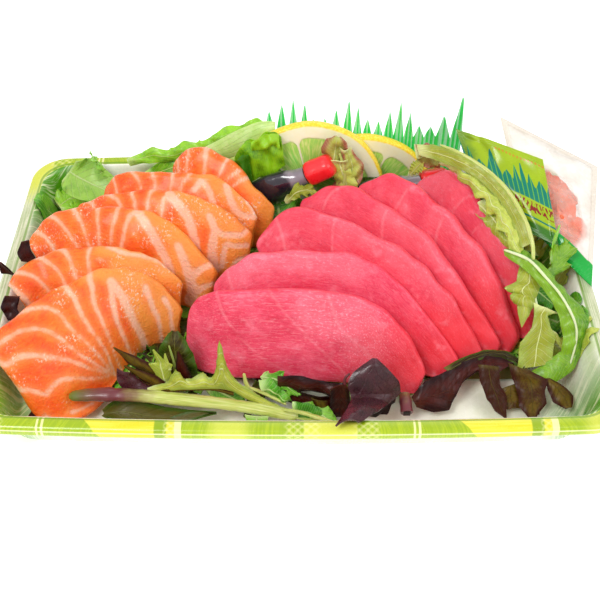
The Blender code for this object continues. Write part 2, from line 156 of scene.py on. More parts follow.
class Piece:
    """Gathers closed shapes in millimetres, then makes one mesh object of them."""

    def __init__(self, name, slot, replaced):
        """Slot is not used, and replaced is the frame's node that it stands for."""
        self.name, self.slot, self.replaced = name, slot, replaced
        self.points, self.faces, self.looks, self.which = [], [], [], []
        self.fields, self.count = {}, 0

    def add(self, points, faces, look, **fields):
        """Adds a closed shape, its faces turned outwards. Faces are arrays of quads or triangles."""
        points = np.asarray(points, float).reshape(-1, 3)
        faces = [np.asarray(f) for f in (faces if isinstance(faces, list) else [faces])]
        centre = points.mean(axis=0)
        volume = 0.0
        for f in faces:
            for k in range(1, f.shape[1] - 1):
                a, b, c = points[f[:, 0]] - centre, points[f[:, k]] - centre, points[f[:, k + 1]] - centre
                volume += float((np.cross(a, b) * c).sum())
        if volume < 0:
            faces = [f[:, ::-1] for f in faces]
        if look not in self.looks:
            self.looks.append(look)
        for f in faces:
            self.faces.append(f + self.count)
            self.which.append(np.full(len(f), self.looks.index(look)))
        for key in set(self.fields) | set(fields):
            kept = self.fields.setdefault(key, [np.zeros(self.count)])
            kept.append(np.broadcast_to(np.ravel(fields.get(key, 0.0)), (len(points),)))
        self.points.append(points)
        self.count += len(points)

    def slab(self, front, back, look, **fields):
        """A closed slab between two grids of points, with square edges."""
        rows, columns = front.shape[:2]
        half = rows * columns
        face, loop = quads(rows, columns), border(rows, columns)
        after = np.roll(loop, -1)
        rim = np.stack([after, loop, loop + half, after + half], axis=1)
        both = {k: np.concatenate([np.ravel(v), np.ravel(v)]) for k, v in fields.items()}
        self.add(np.concatenate([front.reshape(-1, 3), back.reshape(-1, 3)]),
                 np.concatenate([face, face[:, ::-1] + half, rim]), look, **both)

    def pillow(self, front, back, look, **fields):
        """A closed shape between two grids of points that meet along their edges."""
        rows, columns = front.shape[:2]
        half = rows * columns
        face, loop = quads(rows, columns), border(rows, columns)
        place = np.arange(half) + half
        place[loop] = loop
        inner = np.ones(half, bool)
        inner[loop] = False
        place[inner] = half + np.arange(inner.sum())
        at_corner = inner[face].sum(axis=1) == 1
        split = []
        for quad in face[at_corner]:
            within, before, corner, after = np.roll(quad, -int(np.argmax(inner[quad])))
            split += [(within, before, corner), (within, corner, after)]
        faces = [np.concatenate([f, place[f][:, ::-1]]) for f in (face[~at_corner], np.array(split))]
        both = {k: np.concatenate([np.ravel(v), np.ravel(v)[inner]]) for k, v in fields.items()}
        self.add(np.concatenate([front.reshape(-1, 3), back.reshape(-1, 3)[inner]]), faces, look, **both)

    def sheet(self, face, thick, look, **fields):
        """A thin closed sheet along a grid of points."""
        normal = grid_normals(face)
        self.slab(face + normal * thick / 2, face - normal * thick / 2, look, **fields)

    def rings(self, rings, look, **fields):
        """A closed tube through rings of points, with flat ends."""
        rings = np.asarray(rings, float)
        count, sides = rings.shape[:2]
        points = np.concatenate([rings.reshape(-1, 3), [rings[0].mean(axis=0), rings[-1].mean(axis=0)]])
        first, last, top = count * sides, count * sides + 1, (count - 1) * sides
        turn, after = np.arange(sides), (np.arange(sides) + 1) % sides
        ends = np.concatenate([
            np.stack([after, turn, np.full(sides, first)], axis=1),
            np.stack([top + turn, top + after, np.full(sides, last)], axis=1),
        ])
        whole = {}
        for key, value in fields.items():
            value = np.broadcast_to(value, (count, sides))
            whole[key] = np.concatenate([value.ravel(), [value[0].mean(), value[-1].mean()]])
        self.add(points, [band_quads(count, sides).reshape(-1, 4), ends], look, **whole)

    def tube(self, path, radius, look, sides=10, flat=1.0, **fields):
        """A round or flattened rod along a path of points."""
        path = np.asarray(path, float)
        way = unit(np.gradient(path, axis=0))
        level = unit(np.stack([-way[:, 1], way[:, 0], 0 * way[:, 0]], axis=1) + 1e-6)
        upright = np.cross(way, level)
        turns = np.linspace(0, 2 * math.pi, sides, endpoint=False)
        wide = np.broadcast_to(radius, (len(path),))[:, None, None]
        cos, sin = np.cos(turns)[None, :, None], np.sin(turns)[None, :, None]
        rings = path[:, None] + wide * (cos * level[:, None] + flat * sin * upright[:, None])
        self.rings(rings, look, **fields)

    def make(self):
        """Makes the mesh object, with its looks and fields, riding on the root body."""
        mesh = bpy.data.meshes.new(self.name)
        points = np.concatenate(self.points) * MM
        loops = np.concatenate([f.ravel() for f in self.faces]).astype(np.int32)
        sizes = np.concatenate([np.full(len(f), f.shape[1]) for f in self.faces])
        starts = np.concatenate([[0], np.cumsum(sizes)[:-1]]).astype(np.int32)
        mesh.vertices.add(len(points))
        mesh.vertices.foreach_set("co", points.astype(np.float32).ravel())
        mesh.loops.add(len(loops))
        mesh.loops.foreach_set("vertex_index", loops)
        mesh.polygons.add(len(starts))
        mesh.polygons.foreach_set("loop_start", starts)
        mesh.polygons.foreach_set("material_index", np.concatenate(self.which).astype(np.int32))
        mesh.update(calc_edges=True)
        for look in self.looks:
            mesh.materials.append(look.made)
        for key, parts in self.fields.items():
            kept = mesh.attributes.new(key, "FLOAT", "POINT")
            kept.data.foreach_set("value", np.concatenate(parts).astype(np.float32))
        mesh.shade_smooth()
        mesh.set_sharp_from_angle(angle=math.radians(SHARP_ANGLE))
        made = bpy.data.objects.new(self.name, mesh)
        bpy.context.scene.collection.objects.link(made)
        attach(made, "root")
        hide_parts(self.replaced)


# ---------------------------------------------------------------- materials


def colour(code):
    """An sRGB colour such as 'ff8844' as linear numbers."""
    shares = [int(code[i : i + 2], 16) / 255 for i in (0, 2, 4)]
    return tuple(c / 12.92 if c <= 0.04045 else ((c + 0.055) / 1.055) ** 2.4 for c in shares) + (1.0,)


class Value:
    """What a node of a look gives. Arithmetic on it adds Math nodes."""

    def __init__(self, look, socket):
        self.look, self.socket = look, socket

    def math(self, operation, other=0.0):
        """The value after a Math node's operation with another value or number."""
        return self.look.node("Math", {0: self, 1: other}, operation=operation)

    def __add__(self, other):
        return self.math("ADD", other)

    def __sub__(self, number):
        return self + -number

    def __mul__(self, other):
        return self.math("MULTIPLY", other)

    def __truediv__(self, number):
        return self * (1 / number)

    def __pow__(self, power):
        return self.math("POWER", power)

    def __abs__(self):
        return self.math("ABSOLUTE")

    def fraction(self):
        """The part after the decimal point."""
        return self.math("FRACT")


def span(value, low, high, start=0.0, end=1.0):
    """The value's eased way from low to high, as start to end."""
    inputs = {0: value, 1: low, 2: high, 3: start, 4: end}
    return value.look.node("MapRange", inputs, interpolation_type="SMOOTHSTEP")


def mix(share, a, b):
    """Colour a, turning into colour b as the share goes from 0 to 1.

    Inputs 6 and 7 of a Mix node are its two colours, and output 2 is their mix.
    """
    return share.look.node("Mix", {0: share, 6: a, 7: b}, 2, data_type="RGBA")


def from_half(value):
    """How far the value is from the middle between two whole numbers: 0.5 at a whole number, 0 midway."""
    return abs(value.fraction() - 0.5)


class Look:
    """A node material built up on one Principled shader."""

    def __init__(self, name, coat=None, soft=None, gloss=None, **values):
        """Coat is weight and roughness. Soft is the weight, radius and scale of light under the skin."""
        if coat:
            values.update(Coat_Weight=coat[0], Coat_Roughness=coat[1])
        if soft:
            values.update(Subsurface_Weight=soft[0], Subsurface_Radius=soft[1], Subsurface_Scale=soft[2])
        if gloss:
            values["Specular_IOR_Level"] = gloss
        self.made = bpy.data.materials.new(name)
        self.made.use_nodes = True
        self.tree = self.made.node_tree
        self.shader = self.tree.nodes["Principled BSDF"]
        for key, value in values.items():
            self.shader.inputs[key.replace("_", " ")].default_value = value

    def feed(self, socket, value):
        """Gives a socket a value: another node's, a colour code or a number."""
        if isinstance(value, Value):
            self.tree.links.new(value.socket, socket)
        elif isinstance(value, str):
            socket.default_value = colour(value)
        else:
            socket.default_value = value

    def node(self, kind, inputs, out=0, **settings):
        """A new node's output, with its inputs fed and its settings made."""
        made = self.tree.nodes.new("ShaderNode" + kind)
        for key, value in settings.items():
            setattr(made, key, value)
        for place, value in inputs.items():
            self.feed(made.inputs[place], value)
        return Value(self, made.outputs[out])

    def set(self, name, value):
        """Feeds one input of the shader."""
        self.feed(self.shader.inputs[name], value)

    def field(self, name):
        """A field that the piece carries at its points."""
        return self.node("Attribute", {}, "Fac", attribute_name=name)

    def place(self, stretch=(1, 1, 1)):
        """The object's own coordinates in millimetres, divided by a stretch."""
        coords = self.node("TexCoord", {}, "Object")
        scale = tuple(1 / (MM * s) for s in stretch)
        return self.node("Mapping", {"Vector": coords, "Scale": scale})

    def along(self, *fields, stretch=(1, 1, 1)):
        """Coordinates from up to three fields, each divided by its stretch."""
        made = {i: self.field(f) for i, f in enumerate(fields)}
        joined = self.node("CombineXYZ", made)
        return self.node("Mapping", {"Vector": joined, "Scale": tuple(1 / s for s in stretch)})

    def noise(self, size=1.0, detail=3.0, rough=0.5, at=None, warp=0.0):
        """Cloudy values from 0 to 1 whose clouds are about the given size in millimetres."""
        inputs = {"Vector": at or self.place(), "Scale": 1 / size, "Detail": detail, "Roughness": rough}
        return self.node("TexNoise", {**inputs, "Distortion": warp})

    def cells(self, size, at=None):
        """Distances from the middles of cells of about the given size."""
        return self.node("TexVoronoi", {"Vector": at or self.place(), "Scale": 1 / size, "Randomness": 1.0})

    def ramp(self, value, *stops):
        """A colour along (place, colour) stops."""
        made = self.tree.nodes.new("ShaderNodeValToRGB")
        band = made.color_ramp.elements
        while len(band) < len(stops):
            band.new(0.5)
        for element, (place, code) in zip(band, stops):
            element.position = place
            element.color = colour(code)
        self.feed(made.inputs[0], value)
        return Value(self, made.outputs[0])

    def bump(self, height, depth, strength):
        """Turns heights from 0 to 1 into a bump of the given depth in millimetres."""
        return self.node("Bump", {"Height": height, "Distance": depth * MM, "Strength": strength})

    def dress(self, base, height, depth, strength, rough=None):
        """Sets the colour, the bump and any uneven roughness, and gives the look back."""
        self.set("Base Color", base)
        self.set("Normal", self.bump(height, depth, strength))
        if rough is not None:
            self.set("Roughness", rough)
        return self


# ---------------------------------------------------------------- camera, light and floor

CAMERA_PLACE, CAMERA_TILT = (0.0017, -0.258, 0.271), 44.5  # metres, and degrees up from straight down
LENS, SENSOR, NEAREST = 58.0, 36.0, 0.01
# Each lamp's name, place, size and power.
LAMPS = (
    ("key", (-0.35, -0.35, 0.75), 0.3, 3.6),
    ("fill", (0.55, -0.25, 0.55), 0.6, 1.9),
    ("back", (0.1, 0.6, 0.5), 0.5, 0.7),
)
LAMP_TARGET = (0, 0, 0.02)
SKY_LIGHT, SKY_SEEN = 0.66, 1.1  # the sky lights the tray softly, and itself shows as white as the floor
FLOOR_HALF = 30


def place_camera():
    """The picture's own view: from the front, down at the tray."""
    lens = bpy.data.cameras.new("camera")
    lens.lens, lens.sensor_width, lens.clip_start = LENS, SENSOR, NEAREST
    made = bpy.data.objects.new("camera", lens)
    made.location = CAMERA_PLACE
    made.rotation_euler = (math.radians(CAMERA_TILT), 0, 0)
    bpy.context.scene.collection.objects.link(made)
    bpy.context.scene.camera = made


def place_lamp(name, place, size, power):
    """A square soft light that faces the tray."""
    light = bpy.data.lights.new(name, "AREA")
    light.shape, light.size, light.energy = "SQUARE", size, power
    made = bpy.data.objects.new(name, light)
    made.location = place
    made.rotation_euler = (Vector(LAMP_TARGET) - Vector(place)).to_track_quat("-Z", "Y").to_euler()
    bpy.context.scene.collection.objects.link(made)


def studio():
    """A white sky, three soft lights and a pale floor."""
    world = bpy.data.worlds.new("studio")
    world.use_nodes = True
    tree = world.node_tree
    sky = tree.nodes["Background"]
    sky.inputs["Color"].default_value = (1, 1, 1, 1)
    seen, strength = tree.nodes.new("ShaderNodeLightPath"), tree.nodes.new("ShaderNodeMapRange")
    strength.inputs["To Min"].default_value, strength.inputs["To Max"].default_value = SKY_LIGHT, SKY_SEEN
    tree.links.new(seen.outputs["Is Camera Ray"], strength.inputs["Value"])
    tree.links.new(strength.outputs["Result"], sky.inputs["Strength"])
    bpy.context.scene.world = world
    for row in LAMPS:
        place_lamp(*row)
    mesh = bpy.data.meshes.new("floor")
    corners = [(x * FLOOR_HALF, y * FLOOR_HALF, 0) for x, y in ((-1, -1), (1, -1), (1, 1), (-1, 1))]
    mesh.from_pydata(corners, [], [(0, 1, 2, 3)])
    floor = bpy.data.objects.new("floor", mesh)
    bpy.context.scene.collection.objects.link(floor)
    white = Look("floor_white", Roughness=0.9, Emission_Strength=0.5, Emission_Color=(1, 1, 1, 1))
    white.set("Base Color", "f7f7f7")
    mesh.materials.append(white.made)
    bpy.context.scene.view_settings.view_transform = "Standard"


# ---------------------------------------------------------------- fish slices

SLICE_THICK, SLICE_THINNEST, SLICE_REST = 6.4, 1.5, 3.4  # the last is how low a slice's middle may lie
SLICE_GAP, SLICE_REACH = 0.6, 0.2  # space between slices, and how much of a crest gives its heading
SLICE_CORNERS = (5.0, 4.0, 6.0, 4.0)  # radius at the crest's left and right, then at the foot's
GRAIN_ALONG, GRAIN_DOWN = 0.95, 0.85  # the size of a slice's faces
LOOSE_EDGE, LOOSE_WITHIN = 0.42, 7  # how far a cut edge wanders, and how near the edge
SUNK_WIDE, SUNK_FINE, SUNK_MOST = 0.34, 0.07, 0.3  # hollows in a face, and their most as a share of it
TUNA_REDDER, RED_END = 0.42, 1.05  # how much redder the back tuna slices are, and where redness is full
RAY_START, RAY_LENGTH = 4.0, 24  # the rays that find the next slice start this far before a face
TRAY_X, TRAY_Y, TRAY_Z, TRAY_BOW = 218.0, 146.0, 22.0, 2.0  # its size, and the bow of its long sides
CORNER_RADIUS, FLANGE, SKIRT = 14.0, 5.5, 3.0  # the rim's corners, its flat top and its turned-down edge
WALL_RUN, FLOOR_BEND = 5.0, 2.5  # how far in the wall comes, and the bend at its foot

# Each slice, front to back: its crest from left to right, then widths, leans and bend as in the frame.
# Lines are pale seams over its face, as (along, down) shares and half widths in mm at start and end.
# Bands are wider paler streaks: on the salmon partly the flesh's own and partly painted sheen along
# the crests, on the tuna painted sheen. Veil_and_sparkle is how pale a tuna face is and how much painted
# sparkle it shows, and red is where its right end reddens.
SALMON = (
    dict(crest=((-106, -40, 29.5), (-88, -23, 34), (-69, -13, 38), (-52, -11, 32), (-40, -16, 19.5)),
         width=(52, 53, 38, 20), lean=(24, 56), bend=34,
         lines=((((.46, -.03), (.45, .12), (.44, .25), (.46, .45), (.51, .84)), 1.1, .4),
                (((.34, 0), (.36, .14), (.37, .33), (.43, .59), (.45, .80)), 1.1, .35),
                (((.12, -.02), (.20, .04), (.27, .14), (.30, .32), (.38, .57), (.43, .74)), .9, .3),
                (((.04, .12), (.13, .13), (.21, .24), (.28, .46), (.37, .64), (.44, .77)), .9, .3),
                (((-.02, .36), (.07, .29), (.14, .35), (.23, .47), (.32, .60), (.44, .76)), 1.1, .3),
                (((-.02, .75), (.03, .58), (.08, .61)), 1.0, .6),
                (((.08, .61), (.14, .55), (.19, .56), (.28, .63), (.42, .75)), .9, .3),
                (((.04, .81), (.09, .89)), .6, .4), (((.14, .80), (.24, .86)), .6, .3),
                (((.55, .13), (.54, .30), (.55, .47), (.61, .80)), 1.3, .5),
                (((.55, .13), (.61, .30), (.66, .49), (.72, .70), (.74, .95)), 1.6, 1.1),
                (((.74, .13), (.79, .29), (.85, .50), (.87, .95)), 1.1, .6),
                (((.87, .12), (.92, .24), (.95, .64)), 1.0, .5)),
         bands=((((.47, 0), (.58, .05), (.67, .10), (.78, .10), (.90, 0)), 2.5),
                (((.66, .25), (.74, .5)), 2.0), (((.86, .2), (.96, .5)), 3.0))),
    dict(crest=((-104, -11, 30), (-92, -1, 34), (-67, -3, 39), (-52, -3, 35), (-40, -6, 24)),
         width=(30, 38, 34, 21), lean=(34, 50), bend=34,
         lines=((((.31, -.02), (.35, .05), (.38, .24), (.41, .5)), .8, .5),
                (((.43, -.02), (.43, .09), (.44, .3), (.45, .55)), .8, .5),
                (((.20, 0), (.26, .08), (.32, .22), (.36, .42)), .8, .5),
                (((.06, 0), (.14, .14), (.21, .26), (.29, .45)), .9, .5),
                (((-.02, .22), (.03, .36), (.05, .55)), 1.4, .8),
                (((.50, 0), (.59, .06), (.72, .05), (.84, .02), (.93, -.03)), .9, .6)),
         bands=((((.50, 0), (.59, .06), (.72, .05), (.84, .02), (.93, -.03)), 2.0),
                (((.6, .2), (.8, .2)), 3.0))),
    dict(crest=((-102, 12, 27), (-91, 20, 36), (-68, 17, 41), (-48, 13, 38), (-28, 2, 22)),
         width=(30, 38, 34, 30), lean=(36, 50), bend=34,
         lines=((((.33, -.03), (.37, .11), (.40, .26), (.43, .45)), .8, .4),
                (((.44, -.02), (.45, .11), (.46, .25), (.47, .45)), .8, .4),
                (((.53, -.02), (.53, .11), (.52, .25), (.52, .45)), .8, .4),
                (((.62, .02), (.59, .11), (.58, .24), (.57, .45)), .9, .5),
                (((.62, .04), (.68, .15), (.73, .26), (.78, .38), (.82, .5), (.85, .65)), 1.7, 1.5),
                (((.18, -.03), (.26, .09), (.31, .22), (.37, .42)), .8, .5),
                (((.09, .02), (.14, .16), (.20, .34), (.24, .5)), .8, .5),
                (((.83, .17), (.87, .28), (.90, .4), (.92, .55), (.91, .75)), 1.4, 2.3),
                (((.91, .40), (.93, .22), (.96, .05)), 1.4, 1.1),
                (((.93, .62), (.96, .42), (.99, .32)), 1.1, .9)),
         bands=((((.64, .0), (.74, .05), (.88, .12)), 2.6), (((.84, .25), (.93, .5)), 2.5))),
    dict(crest=((-86, 32, 29), (-70, 29, 38), (-46, 25, 42), (-28, 21, 38), (-15, 17, 27)),
         width=(30, 36, 34, 24), lean=(36, 50), bend=34,
         lines=((((.19, -.03), (.25, .05), (.30, .16), (.34, .4)), .8, .5),
                (((.34, -.04), (.34, .05), (.36, .15), (.38, .4)), .8, .5),
                (((.43, -.03), (.41, .07), (.41, .19), (.42, .4)), .8, .5),
                (((.49, .06), (.47, .12), (.47, .24), (.47, .4)), .9, .5),
                (((.49, .06), (.54, .15), (.59, .26), (.62, .38), (.64, .5), (.66, .65)), 1.8, 1.5),
                (((.70, .18), (.74, .29), (.74, .45), (.74, .6), (.76, .8)), 1.2, 2.0),
                (((.75, .30), (.79, .33), (.86, .26), (.91, .2), (.94, .08)), 1.2, 1.0),
                (((.80, .75), (.81, .6), (.83, .42), (.87, .41), (.96, .32)), 1.1, 1.0),
                (((.88, .75), (.91, .6), (.97, .55)), 1.0, .8),
                (((.08, 0), (.14, .1), (.2, .3)), .8, .5)),
         bands=((((.56, .03), (.66, .1), (.78, .2)), 2.6), (((.78, .2), (.9, .4)), 3.0))),
    dict(crest=((-76, 41, 31), (-68, 40, 39), (-46, 37, 42), (-28, 33, 40), (-14, 26, 29)),
         width=(26, 34, 32, 24), lean=(38, 52), bend=34,
         lines=((((.29, -.02), (.33, .06), (.36, .19), (.38, .4)), .7, .4),
                (((.39, -.02), (.41, .09), (.42, .19), (.43, .4)), .7, .4),
                (((.49, -.02), (.49, .07), (.49, .17), (.48, .4)), .7, .4),
                (((.58, -.02), (.56, .09), (.54, .17), (.52, .4)), .7, .4),
                (((.61, .2), (.64, .1), (.69, .18), (.73, .32), (.75, .5)), 1.1, 1.1),
                (((.78, .04), (.83, .17), (.88, .24), (.93, .22), (.98, .13)), 1.4, 1.1),
                (((.82, .55), (.87, .42), (.93, .4)), 1.0, .8),
                (((.89, -.04), (.94, .0), (.99, .1)), 1.1, .7),
                (((.15, -.02), (.2, .1), (.25, .3)), .7, .4)),
         bands=((((.66, .02), (.78, .06), (.9, .1)), 2.6),)),
    dict(crest=((-50, 50, 35), (-41, 50, 44), (-27, 44, 43), (-16, 35, 37), (-7, 32, 28)),
         width=(26, 32, 30, 22), lean=(40, 52), bend=34,
         lines=((((.22, -.02), (.24, .12), (.25, .31), (.27, .5)), .6, .4),
                (((.36, -.03), (.38, .11), (.40, .28), (.41, .5)), 1.0, .5),
                (((.48, -.05), (.51, .02), (.51, .12), (.5, .3)), .7, .4),
                (((.62, .03), (.59, .15), (.56, .28)), .7, .4),
                (((.69, .01), (.65, .14), (.62, .26)), .8, .4),
                (((.08, 0), (.12, .2), (.16, .4)), .6, .4)),
         bands=((((.75, .05), (.95, .2)), 2.2),)),
)
TUNA = (
    dict(crest=((-38, -17, 27), (-22, -20, 34.5), (15, -25, 37), (34, -31, 31), (46, -41, 14)),
         width=(30, 34, 32, 20), lean=(44, 60),
         lines=((((.17, -.06), (.23, .27), (.33, .69), (.42, .95)), .35, .25),
                (((.34, 0), (.39, .29), (.47, .61), (.58, .9)), .3, .25),
                (((.47, .03), (.52, .35), (.62, .50), (.71, .60)), .35, .2)),
         bands=((((.45, .2), (.6, .35), (.66, .5)), 6.0),),
         veil=1.0, corners=(9, 5, 3, 3), red=0.5),
    dict(crest=((-31, -7, 25), (-14, -4, 37), (19, -9, 40), (37.5, -18.5, 34), (59, -35.5, 12)),
         width=(30, 34, 32, 20), lean=(44, 60),
         lines=((((.10, -.03), (.12, .2), (.16, .5)), .3, .2),),
         bands=((((.15, .1), (.35, .06), (.5, .1)), 3.5),), veil=.5),
    dict(crest=((-16, 11, 29), (1, 17, 41), (32, -4, 42), (52, -18, 33), (67.5, -31.5, 12.5)),
         width=(30, 34, 32, 20), lean=(44, 60),
         lines=((((.13, -.05), (.16, .15), (.22, .48)), .35, .25),
                (((.36, .0), (.37, .2), (.39, .45)), .3, .2)),
         bands=((((.36, .05), (.6, .03), (.8, .1)), 2.2),), veil=.35),
    dict(crest=((1, 29, 34), (18, 27, 43), (41, 7, 42), (57, -12, 33), (74.5, -26.3, 12.5)),
         width=(28, 34, 32, 20), lean=(44, 60),
         lines=((((.26, .0), (.20, .12), (.18, .3)), .35, .25),
                (((.42, .05), (.43, .2), (.46, .42)), .3, .2)),
         bands=((((.42, .06), (.6, .03), (.85, .1)), 2.2),), veil=.3),
    dict(crest=((23, 34, 37), (36, 32, 44), (54, 15, 42), (69.5, -5, 32), (81.3, -23.2, 11.7)),
         width=(26, 34, 32, 20), lean=(44, 60),
         lines=((((.38, -.03), (.35, .1), (.34, .35)), .35, .25),
                (((.52, .1), (.53, .25), (.56, .45)), .3, .2)),
         bands=((((.5, .06), (.7, .06), (.85, .3)), 2.0),), veil=.3),
    dict(crest=((46, 38, 36), (57.5, 36, 43), (67.5, 20, 40.5), (80, -1.5, 31), (91.5, -16.5, 13.5)),
         width=(26, 32, 30, 22), lean=(46, 60),
         lines=((((.47, -.03), (.44, .12), (.43, .3)), .35, .25),
                (((.6, .03), (.57, .15), (.56, .3)), .3, .2)),
         bands=((((.6, .06), (.8, .06), (.9, .3)), 2.0), (((.08, .1), (.22, .16)), 4.5)), veil=.3),
)


def rest_on(height, lowest, blend=1.5):
    """Heights eased up to stay above the lowest one."""
    return lowest + blend * np.logaddexp(0, (height - lowest) / blend)


def floor_under(place):
    """The lowest height a slice may reach: just off the floor, and clear of the end walls and rim."""
    inset = TRAY_X / 2 - FLANGE - np.abs(place[..., 0])
    wall = TRAY_Z + 1.4 - inset * (TRAY_Z - 2.6) / WALL_RUN
    return np.clip(wall + 2.5, SLICE_REST, TRAY_Z + 1.4)


def face_at(shape, u, v):
    """Points on a slice's upper face: u runs left to right, v runs from the crest to its lower edge."""
    crest = shape["crest"]
    top = spline(crest, u)
    step = spline(crest, np.clip(u + SLICE_REACH, 0, 1)) - spline(crest, np.clip(u - SLICE_REACH, 0, 1))
    heading = unit(step[..., :2])
    forward = np.stack([heading[..., 1], -heading[..., 0]], axis=-1)
    rounding = 0.5 + 0.5 * np.sqrt(np.clip(1 - np.abs(2 * u - 1) ** 5, 0, 1))
    wide = curve(shape["width"], u) * rounding
    lean = np.radians(np.interp(u, (0, 1), shape["lean"]) + shape.get("bend", 14) * (v - 0.4))
    run = (wide * v * np.cos(lean))[..., None] * forward
    place = top[..., :2] + run
    height = rest_on(top[..., 2] - wide * v * np.sin(lean), floor_under(place) + SLICE_THICK / 2)
    return np.concatenate([place, height[..., None]], axis=-1)


def face_grid(shape, along, down):
    """A grid of points on a slice's face."""
    return face_at(shape, *np.meshgrid(along, down, indexing="ij"))


def tree_of(face):
    """A grid of points as a surface that rays can hit."""
    rows, columns = face.shape[:2]
    return BVHTree.FromPolygons([Vector(p) for p in face.reshape(-1, 3)], quads(rows, columns).tolist())


def depth_of(shape, behind):
    """How far back each point of a coarse grid goes: as deep as the space to the next slice allows."""
    front = face_grid(shape, np.linspace(0, 1, 15), np.linspace(0, 1, 6))
    back = front - grid_normals(front) * SLICE_THICK
    back[..., 2] = np.minimum(rest_on(back[..., 2], floor_under(back), 0.8), front[..., 2] - 1)
    if behind is not None:
        tree = tree_of(face_grid(behind, np.linspace(0, 1, 60), np.linspace(-0.05, 1.3, 28)))
        for place in np.ndindex(front.shape[:2]):
            way = Vector(back[place] - front[place])
            full = way.length
            way.normalize()
            room = tree.ray_cast(Vector(front[place]) - RAY_START * way, way, RAY_LENGTH)[3]
            if room is not None:
                thick = max(SLICE_THINNEST, min(full, room - RAY_START - SLICE_GAP))
                back[place] = front[place] + thick * np.array(way)
    return back - front


def strokes(points, shape, lines):
    """How far inside the nearest line each point is, in mm: above zero on a line, below it off one."""
    best = np.full(points.shape[:2], -12.0)
    for line in lines:
        guide, start = line[0], line[1]
        end = line[2] if len(line) > 2 else start
        share = np.linspace(0, 1, 40)
        at = spline(guide, share)
        way = face_at(shape, at[:, 0], at[:, 1])
        gap = np.linalg.norm(points[..., None, :] - way, axis=-1)
        best = np.maximum(best, (start + (end - start) * share - gap).max(axis=-1))
    return best


def corner_cut(away, radius):
    """How far a rounded corner pulls in the end of a row this far from the edge."""
    near = np.clip(radius - away, 0, radius)
    return radius - np.sqrt(radius**2 - near**2)


def fish(label, shapes, look, edge, seed):
    """A fan of slices, each as thick as the space behind it allows, with soft uneven cut edges."""
    for k, shape in enumerate(shapes):
        crest = spline(shape["crest"], np.linspace(0, 1, 80))
        length = step_lengths(crest).sum()
        wide = float(np.mean(shape["width"]))
        along, down = eased(length, edge, GRAIN_ALONG), eased(wide, edge, GRAIN_DOWN)
        u, v = np.meshgrid(along / length, down / wide, indexing="ij")
        ends = shape.get("corners", SLICE_CORNERS)
        crest_side, foot_side = down[None], (wide - down)[None]
        for place, top, foot in ((u < 0.5, ends[0], ends[2]), (u >= 0.5, ends[1], ends[3])):
            shrink = corner_cut(crest_side, top) + corner_cut(foot_side, foot)
            u = np.where(place, 0.5 + (u - 0.5) * (1 - 2 * shrink / length), u)
        loose = wobble(np.stack([u * length, 0 * v, 0 * v + 9.0 * k], -1), 11, seed + 30)
        v = v + LOOSE_EDGE / wide * loose * (1 - smooth(np.minimum(crest_side, foot_side), 0, LOOSE_WITHIN))
        front = face_at(shape, u, v)
        depth = depth_of(shape, shapes[k + 1] if k + 1 < len(shapes) else None)
        depth = spline(spline(depth, along / length).swapaxes(0, 1), down / wide).swapaxes(0, 1)
        du, dv = np.minimum(along, length - along)[:, None], np.minimum(down, wide - down)[None]
        full = edge_round(du + 0 * dv, dv + 0 * du, edge)[..., None]
        sunk = SUNK_WIDE * (1 - wobble(front, 15, seed + k)) * np.clip(full[..., 0], 0, 1)
        sunk += SUNK_FINE * (1 - wobble(front, 5, seed + 50 + k))
        thick = np.linalg.norm(depth, axis=-1)
        sunk = np.minimum(sunk, SUNK_MOST * thick)
        shift = (depth / np.maximum(thick, 1e-6)[..., None]) * sunk[..., None]
        middle = front + depth / 2
        redder = TUNA_REDDER if k > 1 and label == "tuna" else 0
        piece = Piece(f"{label}_{k + 1}", f"{label}_flesh", f"{label}_slice_{k + 1}")
        piece.pillow(
            middle - depth / 2 * full + shift, middle + depth / 2 * full, look,
            line=strokes(front, shape, shape["lines"]), band=strokes(front, shape, shape["bands"]),
            s=u * length, t=v * wide, veil=shape.get("veil", 0.0) + 0 * u, rim=full[..., 0],
            own=np.full(u.shape, 37.0 * k),
            deep=smooth(u + 0.25 * v, shape.get("red", 0.7), RED_END) + redder,
        )
        piece.make()


def flesh_coords(look, stretch):
    """Places along and down a slice, different in each slice."""
    return look.along("s", "t", "own", stretch=stretch)


def salmon_look():
    """Orange flesh with pale seams, a soft halo beside each, and painted wet glints in patches."""
    look = Look("salmon_flesh", coat=(0.28, 0.2), soft=(0.3, (1.0, 0.4, 0.15), 0.0035), gloss=0.33)
    fibre = look.noise(1.0, 4, 0.6, flesh_coords(look, (2.2, 0.7, 1)), 0.6)
    cloud = look.noise(9.0, 3, 0.55)
    fine = look.noise(0.55, 3, 0.6)
    wet = look.noise(0.9, 3, 0.6)
    deep = span(look.field("deep") + (cloud - 0.5) * 0.3, 0.25, 0.6)
    # Paler bands: partly the flesh's own pale streaks, partly painted sheen along the crests.
    band = span(look.field("band") + (cloud - 0.5) * 5.0, -5.0, 1.0)
    tone = cloud * 0.6 + fibre * 0.4
    base = look.ramp(tone, (0.3, "f44200"), (0.45, "fc5e06"), (0.58, "ff7614"), (0.72, "ff9028"))
    base = mix(band * 0.8, base, "ffa044")
    base = mix(deep * 0.55, base, "ff9c40")
    ragged = look.field("line") + (look.noise(2.6, 3, 0.6) - 0.5) * 1.3
    line = span(ragged, -0.6, 0.6)
    halo = span(ragged, -2.6, 0.2)
    base = mix(halo * 0.45, base, "ff9a54")
    base = mix(line * 0.85, base, "ffc0a0")
    # Clustered pale flecks: painted wet glints, highlights painted into the colour.
    clusters = span(look.noise(13.0, 2, 0.5), 0.52, 0.64)
    painted_glints = span(look.noise(0.8, 4, 0.7, look.place((1, 2.0, 1))), 0.54, 0.64) * clusters
    base = mix(painted_glints * 0.8, base, "ffe0c8")
    height = fibre * 0.5 + (line * -0.3 + fine * 0.4) + wet * 1.3
    return look.dress(base, height, 0.5, 0.9, span(fine, 0.3, 0.7, 0.34, 0.54))


